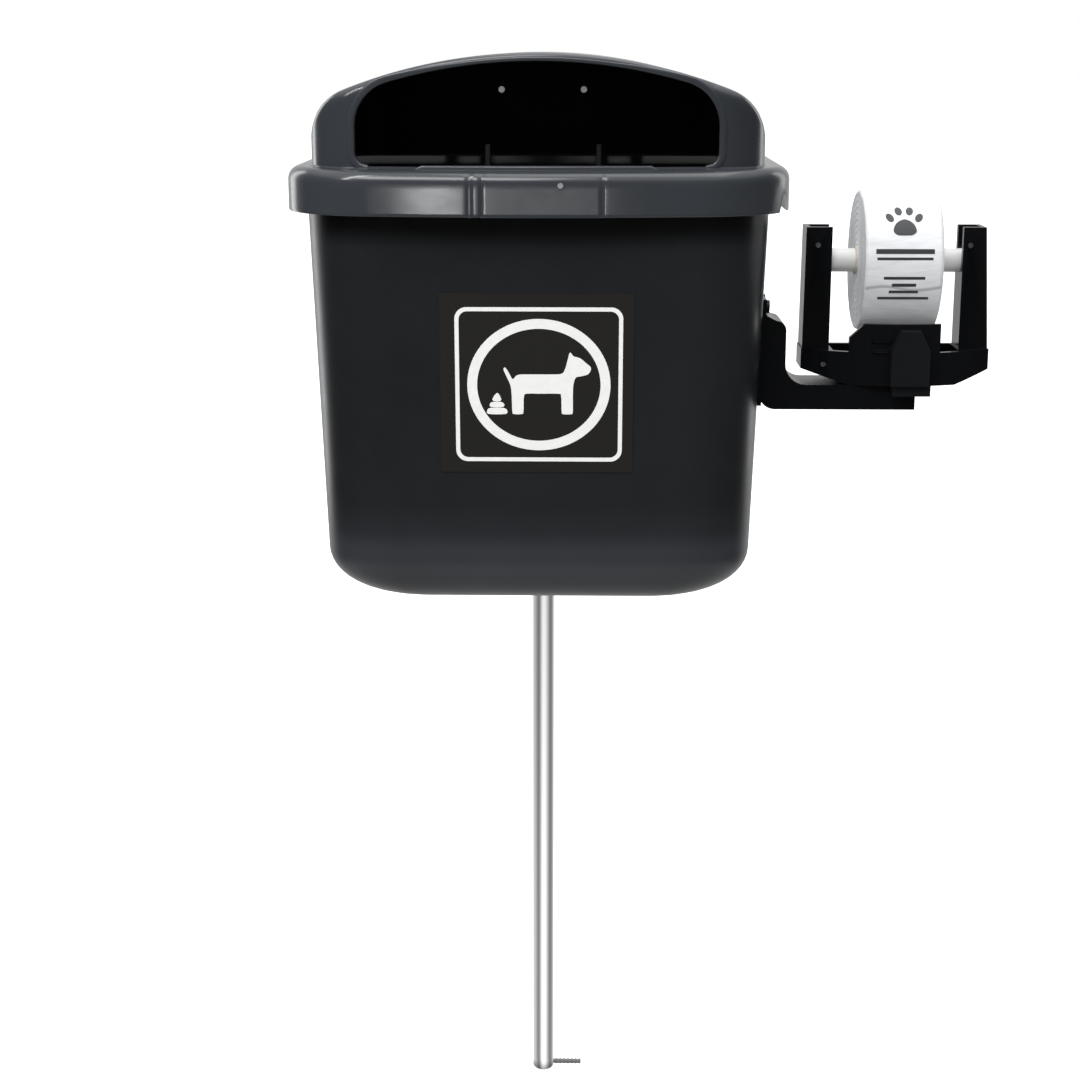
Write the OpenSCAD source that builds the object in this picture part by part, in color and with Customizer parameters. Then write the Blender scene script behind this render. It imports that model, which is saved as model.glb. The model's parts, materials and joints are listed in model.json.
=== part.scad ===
// Dog waste bin on a steel pole, with a side dispenser for rolled bags.
// Millimetres. Origin: centre of the pole's lower end. +X: right, -Y: front, +Z: up.

/* [Pole] */
// Outer diameter of the pole tube
pole_d = 21.3; // [18:0.1:24]
// Wall thickness of the pole tube
pole_wall = 1.5; // [1:0.5:2.5]
// Height of the pole tube's upper end
pole_top_z = 876; // [840:2:880]
// Diameter of the ribbed anchor bar at the pole's foot
anchor_d = 5.5; // [4:0.5:6]
// How far the anchor bar stands out from the pole's axis
anchor_reach = 39; // [25:1:60]

/* [Tub] */
// Height of the tub's floor above the pole's lower end
tub_z = 576; // [500:2:600]
// Height of the tub, from floor to upper edge
tub_h = 350; // [300:2:360]
// Width of the tub at its upper edge
tub_w = 378; // [350:2:384]
// Sideways slope of the tub's side walls, in mm per mm of height
side_slope = 0.0298; // [0.01:0.002:0.06]
// Backward slope of the tub's front wall, in mm per mm of height
front_slope = 0.0734; // [0.02:0.002:0.1]
// Position of the tub's flat rear wall in front of the pole's axis
tub_rear = 30; // [28:1:34]
// Depth of the tub at its upper edge
tub_depth = 270; // [240:2:276]
// Wall thickness of the tub
tub_wall = 3; // [2.5:0.5:4]
// Height of the rounded lower edge
roll_h = 40; // [20:2:60]
// Front corner radius of the tub, seen from above
tub_front_r = 68; // [50:2:90]

/* [Lid] */
// Width of the lid's rim
rim_w = 410; // [400:2:430]
// Height of the lid's rim
rim_h = 36; // [32:1:44]
// How far the rim's lower edge lies below the tub's upper edge
rim_overlap = 24; // [18:1:26]
// Radius of the rounded upper edge of the rim
rim_fillet = 11; // [6:1:14]
// Width of the hood
hood_w = 366; // [350:2:380]
// Height of the hood above the rim
hood_h = 89; // [70:1:110]
// Width of the mouth in the hood
mouth_w = 288; // [240:2:300]
// Wall thickness of the lid
lid_wall = 3; // [2.5:0.5:4]

/* [Dispenser] */
// Outer diameter of the full bag roll
roll_d = 118; // [60:2:120]
// Width of the bag roll
roll_w = 66; // [60:2:90]
// Outer diameter of the spindle tube
spindle_d = 20; // [16:1:22]
// Inner distance between the two uprights
cradle_gap = 110; // [100:1:116]
// Width of one upright
upright_w = 22; // [20:1:30]
// Height of the spindle's axis above the pole's lower end
spindle_z = 855; // [845:1:865]

/* [Hidden] */

$fn = 96;
eps = 0.01;
run_gap = 0.05;

charcoal = [0.13, 0.14, 0.15];
slate = [0.33, 0.35, 0.37];
black = [0.06, 0.06, 0.07];
steel = [0.72, 0.73, 0.75];
white = [0.93, 0.93, 0.92];
board = [0.72, 0.62, 0.48];
sign_brown = [0.10, 0.09, 0.08];

// Heights
tub_top = tub_z + tub_h;
rim_z = tub_top - rim_overlap;
deck_z = rim_z + rim_h;
hood_z = deck_z + hood_h;

// Rim, hood and hinge in plan
rim_rear = -18;
rim_front = rim_rear - tub_depth - 30;
rim_front_r = 85;
rim_rear_r = 34;
rim_bow_r = 900;
hood_rear = -38;
hood_front = rim_front + 18;
hood_front_r = 46;
hood_rear_r = 40;
hinge_y = -9;
hinge_z = rim_z + 6;
hinge_r = 6.5;
hinge_pin_r = 3;
hinge_x = 70;
knuckle_w = 20;
lug_w = 12;
lug_span = knuckle_w + 2 * lug_w;
leaf_gap = 0.3;

// Tub in plan
rear_y = -tub_rear;
front_y = rear_y - tub_depth;
tub_rear_r = 30;
roll_side = 56;
roll_front = 40;
roll_rear = 16;
flat = 100000;
side_deg = atan(side_slope);
front_deg = atan(front_slope);

// Dispenser layout
spindle_y = -170;
cradle_x = 247;
left_outer = cradle_x - upright_w;
right_inner = cradle_x + cradle_gap;
right_outer = right_inner + upright_w;
cradle_mid = (left_outer + right_outer + 3) / 2;
upright_top = spindle_z + 29;
base_top = spindle_z - 73;
base_z = spindle_z - 101;
front_bulge = 47;
arm_front = spindle_y - 41;
arm_top = base_z - eps;
roll_x = cradle_x + (cradle_gap - roll_w) / 2;

// Fasteners
bolt_r = 3;
nut_h = 5;
bolt_head_r = 5.5;
bolt_head_h = 4;
nut_r = 5.5;
bracket_head_r = 6;
bracket_head_h = 3.5;
bracket_shank = 18;
bracket_nut_r = 6;
clamp_shank = 28;
clamp_nut_r = 5.8;
arm_shank = 20;
pin_head_r = 4.6;
pin_head_h = 1.6;
pin_len = 46;
pin_start = 22.5;
screw_r = 1.5;
screw_bore_r = 1.55;
bore_over = 20;

// Pole's foot
foot_h = 12;
foot_round = 4;
foot_plug_h = 10;
anchor_z = 6;
anchor_root = 6;
rib_depth = 0.5;
rib_w = 2;
rib_pitch = 4;
top_cap_h = 3;
top_plug_h = 12;

// Pole bracket and clamps
clamp_zs = [640, 800];
clamp_h = 30;
plate_t = 5;
plate_w = 84;
plate_z = 620;
plate_h = 200;
ear_w = 60;
ear_y = -13;
cap_t = 7;
split_y = 1;
clamp_bolt_x = 21;
bracket_bolt_x = 32;
bracket_bolt_zs = [670, 770];

// Sign
sticker_w = 156;
sticker_h = 148;
sticker_t = 0.6;
sticker_z = 767;

// Bag ring
ring_r = 2.5;
ring_hw = 164;
ring_rear = -50;
ring_front = -282;
ring_corner = 34;
ring_z = tub_top - 9;
clip_x = 92;
clip_w = 28;
clip_screw_z = ring_z - 5.5;

// Hood and mouth
mouth_arch_r = 430;
mouth_shoulder = 36;
mouth_top = hood_z - 6;
mouth_z = deck_z + 3;
hood_arch_r = 425;
hood_shoulder = 46;
sill_w = 190;
sill_d = 10;
sill_h = 3;
sill_y = rim_front + 13;
notch_x = rim_w / 2;
rim_screw_x = 19;
rim_screw_z = rim_z + 25;

// Fin strip and pad inside the lid
strip_top = deck_z - lid_wall;
strip_y = hood_front + lid_wall;
strip_x0 = -80;
strip_w = 174;
strip_t = 2.5;
fin_xs = [-40, 47];
fin_t = 3.5;
rivet_xs = [-70, 84];
rivet_bore_r = 1.6;
pad_t = 2.5;
pad_face = hood_rear - lid_wall - pad_t;
hood_screw_x = 37;
hood_screw_z = 994;

// Dispenser arm
arm_t = 22;
arm_h = 21;
arm_d = 52;
arm_end_x = 318;
arm_low = arm_top - arm_h;
flange_x = 186;
flange_top = 812;
elbow_r = 18;
pad_y = -170;
pad_z = 782;
backing_t = 2;
arm_bolt_places = [[-192, 818], [-150, 818], [-150, 748]];

// Roll cradle
upright_d = 32;
channel_r = spindle_d / 2 + run_gap;
cradle_front_r = 130;
cradle_front = spindle_y - front_bulge;
cradle_screw_z = spindle_z + 14;
upright_screw_xs = [left_outer + 10, right_inner + 6];
base_screw_x = left_outer + 16;
base_screw_z = base_z + 16;
spot_face = 2;
clip_mid_x = cradle_mid + 6.5;
core_in = spindle_d / 2 + 0.08;
core_out = core_in + 2;

// ---- plan outlines and lofts ----

function arc(centre, r, from, to, steps) =
    [for (i = [0:steps]) let (a = from + (to - from) * i / steps)
        [centre.x + r * cos(a), centre.y + r * sin(a)]];

// Rounded outline seen from above: half width, rear and front, front and rear corner radii,
// and radius of the front's bow
function outline(hw, rear, front, rf, rr, bow_r) =
    let (cx = hw - rf)
    let (cy = front + bow_r - sqrt(pow(bow_r - rf, 2) - cx * cx))
    let (tilt = asin(cx / (bow_r - rf)))
    let (bow = arc([0, front + bow_r], bow_r, 270 - tilt, 270 + tilt, 8))
    concat(
        arc([hw - rr, rear - rr], rr, 0, 90, 6),
        arc([-hw + rr, rear - rr], rr, 90, 180, 6),
        arc([-cx, cy], rf, 180, 270 - tilt, 9),
        [for (i = [1:7]) bow[i]],
        arc([cx, cy], rf, 270 + tilt, 360, 9)
    );

function lift(points, z) = [for (p = points) [p.x, p.y, z]];

// Closed solid through rings of equal point count, listed from the lowest up
module loft(rings) {
    n = len(rings[0]);
    m = len(rings);
    points = [for (ring = rings) for (p = ring) p];
    sides = [for (k = [0:m - 2]) for (i = [0:n - 1]) let (j = (i + 1) % n)
        each [[k * n + i, (k + 1) * n + j, k * n + j],
              [k * n + i, (k + 1) * n + i, (k + 1) * n + j]]];
    floor_face = [[for (i = [0:n - 1]) i]];
    top_face = [[for (i = [n - 1:-1:0]) (m - 1) * n + i]];
    polyhedron(points, concat(sides, floor_face, top_face));
}

// Outline of the tub at a height, drawn in by an inset on each side
function tub_ring(z, inset, side, front, rear) =
    let (drop = tub_top - z)
    lift(outline(
        tub_w / 2 - drop * side_slope - inset - side,
        rear_y - inset - rear,
        front_y + drop * front_slope + inset + front,
        tub_front_r - inset - drop * 0.03 - side * 0.3,
        tub_rear_r - inset - side * 0.2,
        flat
    ), z);

// Tub shape, solid, drawn in by an inset, with its rounded lower edge
module tub_body(inset, top) {
    z0 = tub_z + inset;
    h = roll_h - inset;
    loft(concat(
        [for (a = [90:-15:0])
            tub_ring(z0 + h * (1 - sin(a)) , inset, roll_side * (1 - cos(a)) * 0.9999,
                     roll_front * (1 - cos(a)), roll_rear * (1 - cos(a)))],
        [tub_ring(top, inset, 0, 0, 0)]
    ));
}

// Frame on the tub's right side wall: local x points out of the wall
module on_side_wall(y, z) {
    translate([tub_w / 2 - (tub_top - z) * side_slope, y, z]) rotate([0, side_deg, 0]) children();
}

module bolt_along_x(head_r, head_h, shank_r, shank) {
    rotate([0, 90, 0]) cylinder(r = head_r, h = head_h);
    translate([-shank, 0, 0]) rotate([0, 90, 0]) cylinder(r = shank_r, h = shank + eps);
}

module nut_along_x(r, h) {
    rotate([0, 90, 0]) difference() {
        cylinder(r = r, h = h, $fn = 6);
        translate([0, 0, -1]) cylinder(r = bolt_r + run_gap, h = h + 2);
    }
}

module along_y() { rotate([-90, 0, 0]) children(); }

// Prism with a front-view outline, from one y to another
module front_prism(y0, y1) {
    translate([0, y1, 0]) rotate([90, 0, 0]) linear_extrude(y1 - y0) children();
}

// ---- pole ----

module pole_tube() {
    color(steel) difference() {
        translate([0, 0, foot_h]) cylinder(d = pole_d, h = pole_top_z - foot_h);
        translate([0, 0, foot_h - 1]) cylinder(d = pole_d - 2 * pole_wall, h = pole_top_z);
    }
}

module pole_top_cap() {
    bore = pole_d - 2 * pole_wall;
    color(black) {
        translate([0, 0, pole_top_z]) cylinder(d = pole_d, h = top_cap_h);
        translate([0, 0, pole_top_z - top_plug_h]) cylinder(d = bore - 2 * run_gap, h = top_plug_h + eps);
    }
}

// Solid foot with a rounded rim; its flat lower face is the pole's ground end
module pole_foot_cap() {
    plug_r = pole_d / 2 - pole_wall - run_gap;
    rim_r = pole_d / 2;
    color(steel) difference() {
        rotate_extrude() {
            polygon(concat(
                [[0, 0]],
                arc([rim_r - foot_round, foot_round], foot_round, 270, 360, 8),
                [[rim_r, foot_h - eps], [plug_r, foot_h - eps], [plug_r, foot_h + foot_plug_h],
                 [0, foot_h + foot_plug_h]]
            ));
        }
        translate([-anchor_root, 0, anchor_z]) rotate([0, 90, 0])
            cylinder(d = anchor_d - 2 * rib_depth + 2 * run_gap, h = anchor_root + pole_d);
    }
}

// Ribbed bar let into the pole's foot
module anchor_bar() {
    color(steel) translate([0, 0, anchor_z]) rotate([0, 90, 0]) {
        translate([0, 0, eps - anchor_root])
            cylinder(d = anchor_d - 2 * rib_depth, h = anchor_reach + anchor_root);
        for (x = [pole_d / 2 + rib_w:rib_pitch:anchor_reach - rib_w])
            translate([0, 0, x]) cylinder(d = anchor_d, h = rib_w);
    }
}

// ---- pole bracket and clamps ----

module pole_bracket() {
    color(black) difference() {
        union() {
            translate([-plate_w / 2, rear_y, plate_z]) cube([plate_w, plate_t, plate_h]);
            for (z = clamp_zs - [clamp_h / 2, clamp_h / 2]) {
                translate([-12, rear_y + 1, z]) cube([24, -1 - split_y - rear_y, clamp_h]);
                translate([-ear_w / 2, ear_y, z]) cube([ear_w, -split_y - ear_y, clamp_h]);
            }
        }
        translate([0, 0, plate_z - bore_over]) cylinder(r = pole_d / 2, h = plate_h + 2 * bore_over);
        for (z = clamp_zs, x = [-clamp_bolt_x, clamp_bolt_x])
            translate([x, ear_y - 1, z]) along_y() cylinder(r = bolt_r + run_gap, h = 20);
        for (z = bracket_bolt_zs, x = [-bracket_bolt_x, bracket_bolt_x])
            translate([x, rear_y - 1, z]) along_y() cylinder(r = bolt_r + run_gap, h = 10);
    }
}

module bracket_bolts() {
    color(steel) for (z = bracket_bolt_zs, x = [-bracket_bolt_x, bracket_bolt_x])
        translate([x, rear_y + plate_t, z]) along_y() {
            cylinder(r = bracket_head_r, h = bracket_head_h);
            translate([0, 0, -bracket_shank]) cylinder(r = bolt_r, h = bracket_shank + eps);
        }
}

module bracket_nuts() {
    color(steel) for (z = bracket_bolt_zs, x = [-bracket_bolt_x, bracket_bolt_x])
        translate([x, rear_y - tub_wall - nut_h, z]) along_y() difference() {
            cylinder(r = bracket_nut_r, h = nut_h, $fn = 6);
            translate([0, 0, -1]) cylinder(r = bolt_r + run_gap, h = nut_h + 2);
        }
}

module clamp_cap(z) {
    color(black) difference() {
        union() {
            translate([-ear_w / 2, split_y, z - clamp_h / 2]) cube([ear_w, cap_t, clamp_h]);
            intersection() {
                translate([0, 0, z - clamp_h / 2]) cylinder(r = pole_d / 2 + 6, h = clamp_h);
                translate([-ear_w / 2, split_y, z - clamp_h / 2]) cube([ear_w, ear_w, clamp_h]);
            }
        }
        translate([0, 0, z - clamp_h]) cylinder(r = pole_d / 2, h = 2 * clamp_h);
        for (x = [-clamp_bolt_x, clamp_bolt_x])
            translate([x, -5, z]) along_y() cylinder(r = bolt_r + run_gap, h = 20);
    }
}

module clamp_cap_upper() { clamp_cap(clamp_zs[1]); }

module clamp_cap_lower() { clamp_cap(clamp_zs[0]); }

module clamp_bolts() {
    color(steel) for (z = clamp_zs, x = [-clamp_bolt_x, clamp_bolt_x])
        translate([x, split_y + cap_t, z]) along_y() {
            cylinder(r = bolt_head_r, h = bolt_head_h);
            translate([0, 0, -clamp_shank]) cylinder(r = bolt_r, h = clamp_shank + eps);
        }
}

module clamp_nuts() {
    color(steel) for (z = clamp_zs, x = [-clamp_bolt_x, clamp_bolt_x])
        translate([x, ear_y - nut_h, z]) along_y() difference() {
            cylinder(r = clamp_nut_r, h = nut_h, $fn = 6);
            translate([0, 0, -1]) cylinder(r = bolt_r + run_gap, h = nut_h + 2);
        }
}

// ---- tub ----

// Side view of one hinge lug
module lug_view() {
    polygon([
        [rear_y + 1, rim_z - 34], [rear_y + 1, rim_z - 6],
        [hinge_y - 8, rim_z - 3], [hinge_y, hinge_z],
        [hinge_y + hinge_r - 1, hinge_z - 4], [hinge_y + 4, rim_z - 8]
    ]);
    translate([hinge_y, hinge_z]) circle(r = hinge_r);
}

// Brackets behind the tub, each a plate with two lugs that a lid leaf turns between
module hinge_brackets() {
    color(charcoal) difference() {
        for (side = [-1, 1]) {
            translate([side * hinge_x - lug_span / 2, rear_y + eps, rim_z - 40]) cube([lug_span, 4, 34]);
            for (x = [-lug_span / 2, knuckle_w / 2])
                translate([side * hinge_x + x, 0, 0]) rotate([90, 0, 90]) linear_extrude(lug_w) lug_view();
        }
        hinge_bore();
    }
}

module hinge_bore() {
    for (side = [-1, 1])
        translate([side * hinge_x - 25, hinge_y, hinge_z]) rotate([0, 90, 0])
            cylinder(r = hinge_pin_r + run_gap, h = 50);
}

module tub() {
    color(charcoal) difference() {
        tub_body(0, tub_top);
        tub_body(tub_wall, tub_top + 1);
        for (z = bracket_bolt_zs, x = [-bracket_bolt_x, bracket_bolt_x])
            translate([x, rear_y - 5, z]) along_y() cylinder(r = bolt_r + run_gap, h = 10);
        for (p = arm_bolt_places)
            on_side_wall(p[0], p[1]) translate([-10, 0, 0]) rotate([0, 90, 0])
                cylinder(r = bolt_r + run_gap, h = 20);
    }
}

module hinge_pins() {
    color(steel) for (side = [-1, 1])
        translate([side * hinge_x - pin_start, hinge_y, hinge_z]) rotate([0, 90, 0]) {
            cylinder(r = hinge_pin_r, h = pin_len);
            translate([0, 0, 2 * run_gap - pin_head_h]) cylinder(r = pin_head_r, h = pin_head_h);
        }
}

// Square sign on the sloping front wall
module front_sticker() {
    y = front_y + (tub_top - sticker_z) * front_slope;
    color(sign_brown) translate([0, y - 0.02, sticker_z]) rotate([front_deg, 0, 0])
        translate([-sticker_w / 2, -sticker_t, -sticker_h / 2]) cube([sticker_w, sticker_t, sticker_h]);
}

// ---- bag ring ----

module ring_corner_bend(x, y, from) {
    translate([x, y, ring_z]) rotate([0, 0, from]) rotate_extrude(angle = 90)
        translate([ring_corner, 0]) circle(r = ring_r, $fn = 32);
}

// Wire ring that carries the liner bag, turning about its rear bar
module bag_ring() {
    x = ring_hw - ring_corner;
    long = ring_rear - ring_front - 2 * ring_corner;
    color(steel) {
        for (y = [ring_rear, ring_front])
            translate([-x - eps, y, ring_z]) rotate([0, 90, 0]) cylinder(r = ring_r, h = 2 * x + 2 * eps);
        for (side = [-1, 1])
            translate([side * ring_hw, ring_front + ring_corner - eps, ring_z]) along_y()
                cylinder(r = ring_r, h = long + 2 * eps);
        ring_corner_bend(x, ring_rear - ring_corner, 0);
        ring_corner_bend(-x, ring_rear - ring_corner, 90);
        ring_corner_bend(-x, ring_front + ring_corner, 180);
        ring_corner_bend(x, ring_front + ring_corner, 270);
    }
}

// Snap clips inside the tub's rear wall that hold the ring's rear bar
module bag_ring_clips() {
    color(black) for (side = [-1, 1]) difference() {
        translate([side * clip_x - clip_w / 2, ring_rear - 6, ring_z - 9])
            cube([clip_w, rear_y - tub_wall - ring_rear + 6, 16]);
        translate([side * clip_x - 20, ring_rear, ring_z]) rotate([0, 90, 0])
            cylinder(r = ring_r + run_gap, h = 40);
        translate([side * clip_x - 20, ring_rear - 2.1, ring_z]) cube([40, 4.2, 12]);
        translate([side * clip_x, ring_rear - 7, clip_screw_z]) along_y()
            cylinder(r = screw_bore_r, h = 30);
    }
}

module ring_clip_screws() {
    color(steel) for (side = [-1, 1])
        translate([side * clip_x, ring_rear - 6, clip_screw_z]) along_y() {
            translate([0, 0, -1.5]) cylinder(r = 3, h = 1.5);
            cylinder(r = screw_r, h = rear_y - tub_wall - ring_rear + 5.8);
        }
}

// ---- lid ----

// Arched front view: straight sides, rounded shoulders under a shallow arch
module arch_view(hw, z0, z1, arch_r, shoulder) {
    cx = hw - shoulder;
    cy = z1 - arch_r + sqrt(pow(arch_r - shoulder, 2) - cx * cx);
    tilt = asin(cx / (arch_r - shoulder));
    polygon(concat(
        [[-hw, z0], [hw, z0]],
        arc([cx, cy], shoulder, 0, 90 - tilt, 8),
        arc([0, z1 - arch_r], arch_r, 90 - tilt, 90 + tilt, 24),
        arc([-cx, cy], shoulder, 90 + tilt, 180, 8)
    ));
}

function rim_ring(z, inset) =
    lift(outline(rim_w / 2 - inset, rim_rear - inset, rim_front + inset,
                 rim_front_r - inset, rim_rear_r - inset, rim_bow_r), z);

module hood_shape(inset, z0) {
    intersection() {
        translate([0, 0, z0]) linear_extrude(hood_h + 60)
            polygon(outline(hood_w / 2 - inset, hood_rear - inset, hood_front + inset,
                            hood_front_r - inset, hood_rear_r - inset, rim_bow_r));
        front_prism(rim_front, 0)
            arch_view(hood_w / 2 - inset, z0, hood_z - inset, hood_arch_r - inset, hood_shoulder - inset);
    }
}

// Leaves on the rim's rear face, each with the knuckle that turns in a bracket
module lid_hinge_leaves() {
    w = knuckle_w - 2 * leaf_gap;
    color(slate) difference() {
        for (side = [-1, 1]) translate([side * hinge_x, 0, hinge_z]) {
            translate([-w / 2, hinge_y, 0]) rotate([0, 90, 0]) cylinder(r = hinge_r, h = w);
            translate([-w / 2, rim_rear + eps, -5]) cube([w, hinge_y - rim_rear, 10]);
            translate([-20, rim_rear + eps, 8]) cube([40, 3, 16]);
            translate([-w / 2, rim_rear + eps, 0]) cube([w, 3, 12]);
        }
        hinge_bore();
    }
}

module lid() {
    color(slate) difference() {
        union() {
            loft(concat(
                [rim_ring(rim_z, 0)],
                [for (a = [0:15:90])
                    rim_ring(deck_z - rim_fillet + rim_fillet * sin(a), rim_fillet * (1 - cos(a)))]
            ));
            hood_shape(0, deck_z - 5);
            translate([-sill_w / 2, sill_y, deck_z - 1]) cube([sill_w, sill_d, sill_h + 1]);
        }
        loft([
            rim_ring(rim_z - 1, lid_wall),
            rim_ring(deck_z - rim_fillet, lid_wall),
            rim_ring(deck_z - lid_wall, rim_fillet)
        ]);
        hood_shape(lid_wall, deck_z - 6);
        front_prism(rim_front - 10, hood_front + 40)
            arch_view(mouth_w / 2, mouth_z, mouth_top, mouth_arch_r, mouth_shoulder);
        front_prism(rim_front, rim_front + 120)
            polygon([[notch_x - 11, rim_z - 1], [notch_x - 6.5, rim_z + 14], [notch_x - 3, rim_z - 1]]);
        for (x = rivet_xs)
            translate([x, strip_y - 1, strip_top - 3]) cylinder(r = rivet_bore_r, h = 5);
        for (x = [-hood_screw_x, hood_screw_x])
            translate([x, hood_rear - 6, hood_screw_z]) along_y() cylinder(r = 2.1, h = 12);
        translate([rim_screw_x, rim_front - 4, rim_screw_z]) along_y() cylinder(r = screw_bore_r, h = 20);
    }
}

// Strip behind the sill with two upright fins that hold the bag's edge
module bag_fin_strip() {
    color(black) difference() {
        union() {
            translate([strip_x0, strip_y + 6, strip_top - 20]) cube([strip_w, strip_t, 20 - eps]);
            translate([strip_x0, strip_y - 5, strip_top - strip_t]) cube([strip_w, 12, strip_t - eps]);
            for (x = fin_xs) translate([x, strip_y + 2.5, strip_top - 1]) cube([fin_t, 8.5, 23]);
        }
        for (x = rivet_xs) translate([x, strip_y - 1, strip_top - 5]) cylinder(r = rivet_bore_r, h = 8);
    }
}

module strip_rivets() {
    color(steel) for (x = rivet_xs) translate([x, strip_y - 1, strip_top - strip_t]) {
        translate([0, 0, -1.5]) cylinder(r = 2.8, h = 1.5);
        cylinder(r = screw_r, h = 4);
    }
}

module rim_screw() {
    color(steel) translate([rim_screw_x, rim_front, rim_screw_z]) along_y() {
        translate([0, 0, -1]) cylinder(r = 2.2, h = 1.1);
        cylinder(r = screw_r, h = 9);
    }
}

// Raised pad inside the hood's rear wall
module hood_pad() {
    color(black) difference() {
        front_prism(pad_face, pad_face + pad_t - eps)
            arch_view(50, hood_screw_z - 34, hood_screw_z + 14, 140, 16);
        for (x = [-hood_screw_x, hood_screw_x])
            translate([x, hood_rear - 12, hood_screw_z]) along_y() cylinder(r = 2.1, h = 12);
    }
}

module hood_screws() {
    color(steel) for (x = [-hood_screw_x, hood_screw_x])
        translate([x, pad_face, hood_screw_z]) along_y() {
            translate([0, 0, -2.2]) cylinder(r = 2.8, h = 2.2);
            cylinder(r = 2, h = 6);
        }
}

// ---- dispenser arm ----

// Curved arm from the tub's side wall to under the roll cradle
module dispenser_arm() {
    inner_x = flange_x + arm_t;
    color(black) difference() {
        union() {
            front_prism(arm_front, arm_front + arm_d) polygon(concat(
                [[flange_x + 6, flange_top], [flange_x - 1, flange_top - 12], [flange_x - 2, arm_low + 16]],
                arc([flange_x + 14, arm_low + 14], 14, 190, 270, 6),
                [[arm_end_x, arm_low], [arm_end_x, arm_top]],
                arc([inner_x + elbow_r, arm_top + elbow_r], elbow_r, 270, 180, 8),
                arc([inner_x - 8, flange_top - 12], 8, 0, 90, 6)
            ));
            on_side_wall(pad_y, pad_z) translate([eps, -41, -46]) cube([5, 82, 90]);
        }
        tub_body(0, tub_top);
        for (p = arm_bolt_places) on_side_wall(p[0], p[1])
            translate([-5, 0, 0]) rotate([0, 90, 0]) cylinder(r = bolt_r + run_gap, h = 20);
        for (p = arm_bolt_places) on_side_wall(p[0], p[1])
            translate([5, 0, 0]) rotate([0, 90, 0]) cylinder(r = 7, h = 30);
    }
}

module arm_bolts() {
    color(steel) for (p = arm_bolt_places) on_side_wall(p[0], p[1])
        translate([5 + 2 * eps, 0, 0]) bolt_along_x(bolt_head_r, bolt_head_h, bolt_r, arm_shank);
}

module arm_backing_plate() {
    color(steel) difference() {
        on_side_wall(pad_y, pad_z) translate([-tub_wall - backing_t - eps, -38, -44])
            cube([backing_t, 76, 86]);
        for (p = arm_bolt_places) on_side_wall(p[0], p[1])
            translate([-10, 0, 0]) rotate([0, 90, 0]) cylinder(r = bolt_r + run_gap, h = 20);
    }
}

module arm_nuts() {
    color(steel) for (p = arm_bolt_places) on_side_wall(p[0], p[1])
        translate([-tub_wall - backing_t - nut_h - 3 * eps, 0, 0]) nut_along_x(nut_r, nut_h);
}

// ---- roll cradle ----

// Position of the base's bulging front face at an x
function cradle_face(x) =
    cradle_front + cradle_front_r - sqrt(pow(cradle_front_r, 2) - pow(x - cradle_mid, 2));

base_screw_y = cradle_face(base_screw_x) + spot_face;

module spindle_slot(x0, x1) {
    translate([x0, spindle_y, spindle_z]) rotate([0, 90, 0]) cylinder(r = channel_r, h = x1 - x0);
    translate([x0, spindle_y - channel_r, spindle_z]) cube([x1 - x0, 2 * channel_r, 60]);
}

// Boat-shaped base in plan: straight rear, bulging front
module cradle_plan(inset) {
    x0 = left_outer - 2 + inset;
    x1 = right_outer + 3 - inset;
    intersection() {
        translate([x0, spindle_y - 80]) square([x1 - x0, 80 + upright_d / 2 - inset]);
        translate([cradle_mid, cradle_front + cradle_front_r]) circle(r = cradle_front_r - inset);
    }
}

// Front view of the base: raked lower corners and a raised, chamfered middle
module base_view() {
    lip = base_top + 24;
    polygon([
        [left_outer - 2, base_z + 11], [left_outer + 36, base_z],
        [right_outer - 28, base_z], [right_outer + 3, base_z + 11],
        [right_outer + 3, base_top], [right_inner - 20, base_top],
        [right_inner - 20, lip], [cradle_x + 26, lip],
        [cradle_x + 14, lip - 12], [cradle_x + 14, base_top],
        [left_outer - 2, base_top]
    ]);
}

// Front view of the two uprights, which taper towards their tops
module uprights_view() {
    root = base_z + 20;
    polygon([[left_outer - 1, root], [cradle_x, root], [cradle_x, upright_top], [left_outer, upright_top]]);
    polygon([[right_inner, root], [right_outer + 3, root], [right_outer - 3, upright_top],
             [right_inner, upright_top]]);
}

module roll_cradle() {
    color(black) difference() {
        union() {
            intersection() {
                translate([0, 0, base_z]) linear_extrude(60) cradle_plan(0);
                front_prism(spindle_y - 80, spindle_y + 40) base_view();
            }
            front_prism(spindle_y - upright_d / 2, spindle_y + upright_d / 2) uprights_view();
        }
        translate([0, 0, base_z + 5]) linear_extrude(80) intersection() {
            cradle_plan(5);
            translate([cradle_x + 2, spindle_y - 80]) square([cradle_gap - 4, 100]);
        }
        spindle_slot(left_outer + 4, cradle_x + 1);
        spindle_slot(right_inner - 1, right_outer - 7);
        translate([cradle_x, spindle_y - 25, base_top]) cube([cradle_gap, 60, 40]);
        for (x = upright_screw_xs)
            translate([x, spindle_y - upright_d / 2 - 1, cradle_screw_z]) along_y()
                cylinder(r = screw_bore_r, h = 5);
        translate([base_screw_x, base_screw_y, base_screw_z]) along_y() {
            cylinder(r = screw_bore_r, h = 9);
            translate([0, 0, -20]) cylinder(r = 2.6, h = 20);
        }
    }
}

// Tapered block that locks the cradle onto the arm's end
module cradle_clip() {
    color(black) translate([clip_mid_x, 0, base_z]) {
        front_prism(cradle_front - 14, cradle_front - 2 * eps)
            polygon([[-16, 2], [16, 2], [16, 32], [8, 48], [-8, 48], [-16, 32]]);
        front_prism(cradle_front - 10, cradle_front - 2 * eps)
            translate([-14, -7]) square([32, 10]);
    }
}

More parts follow.
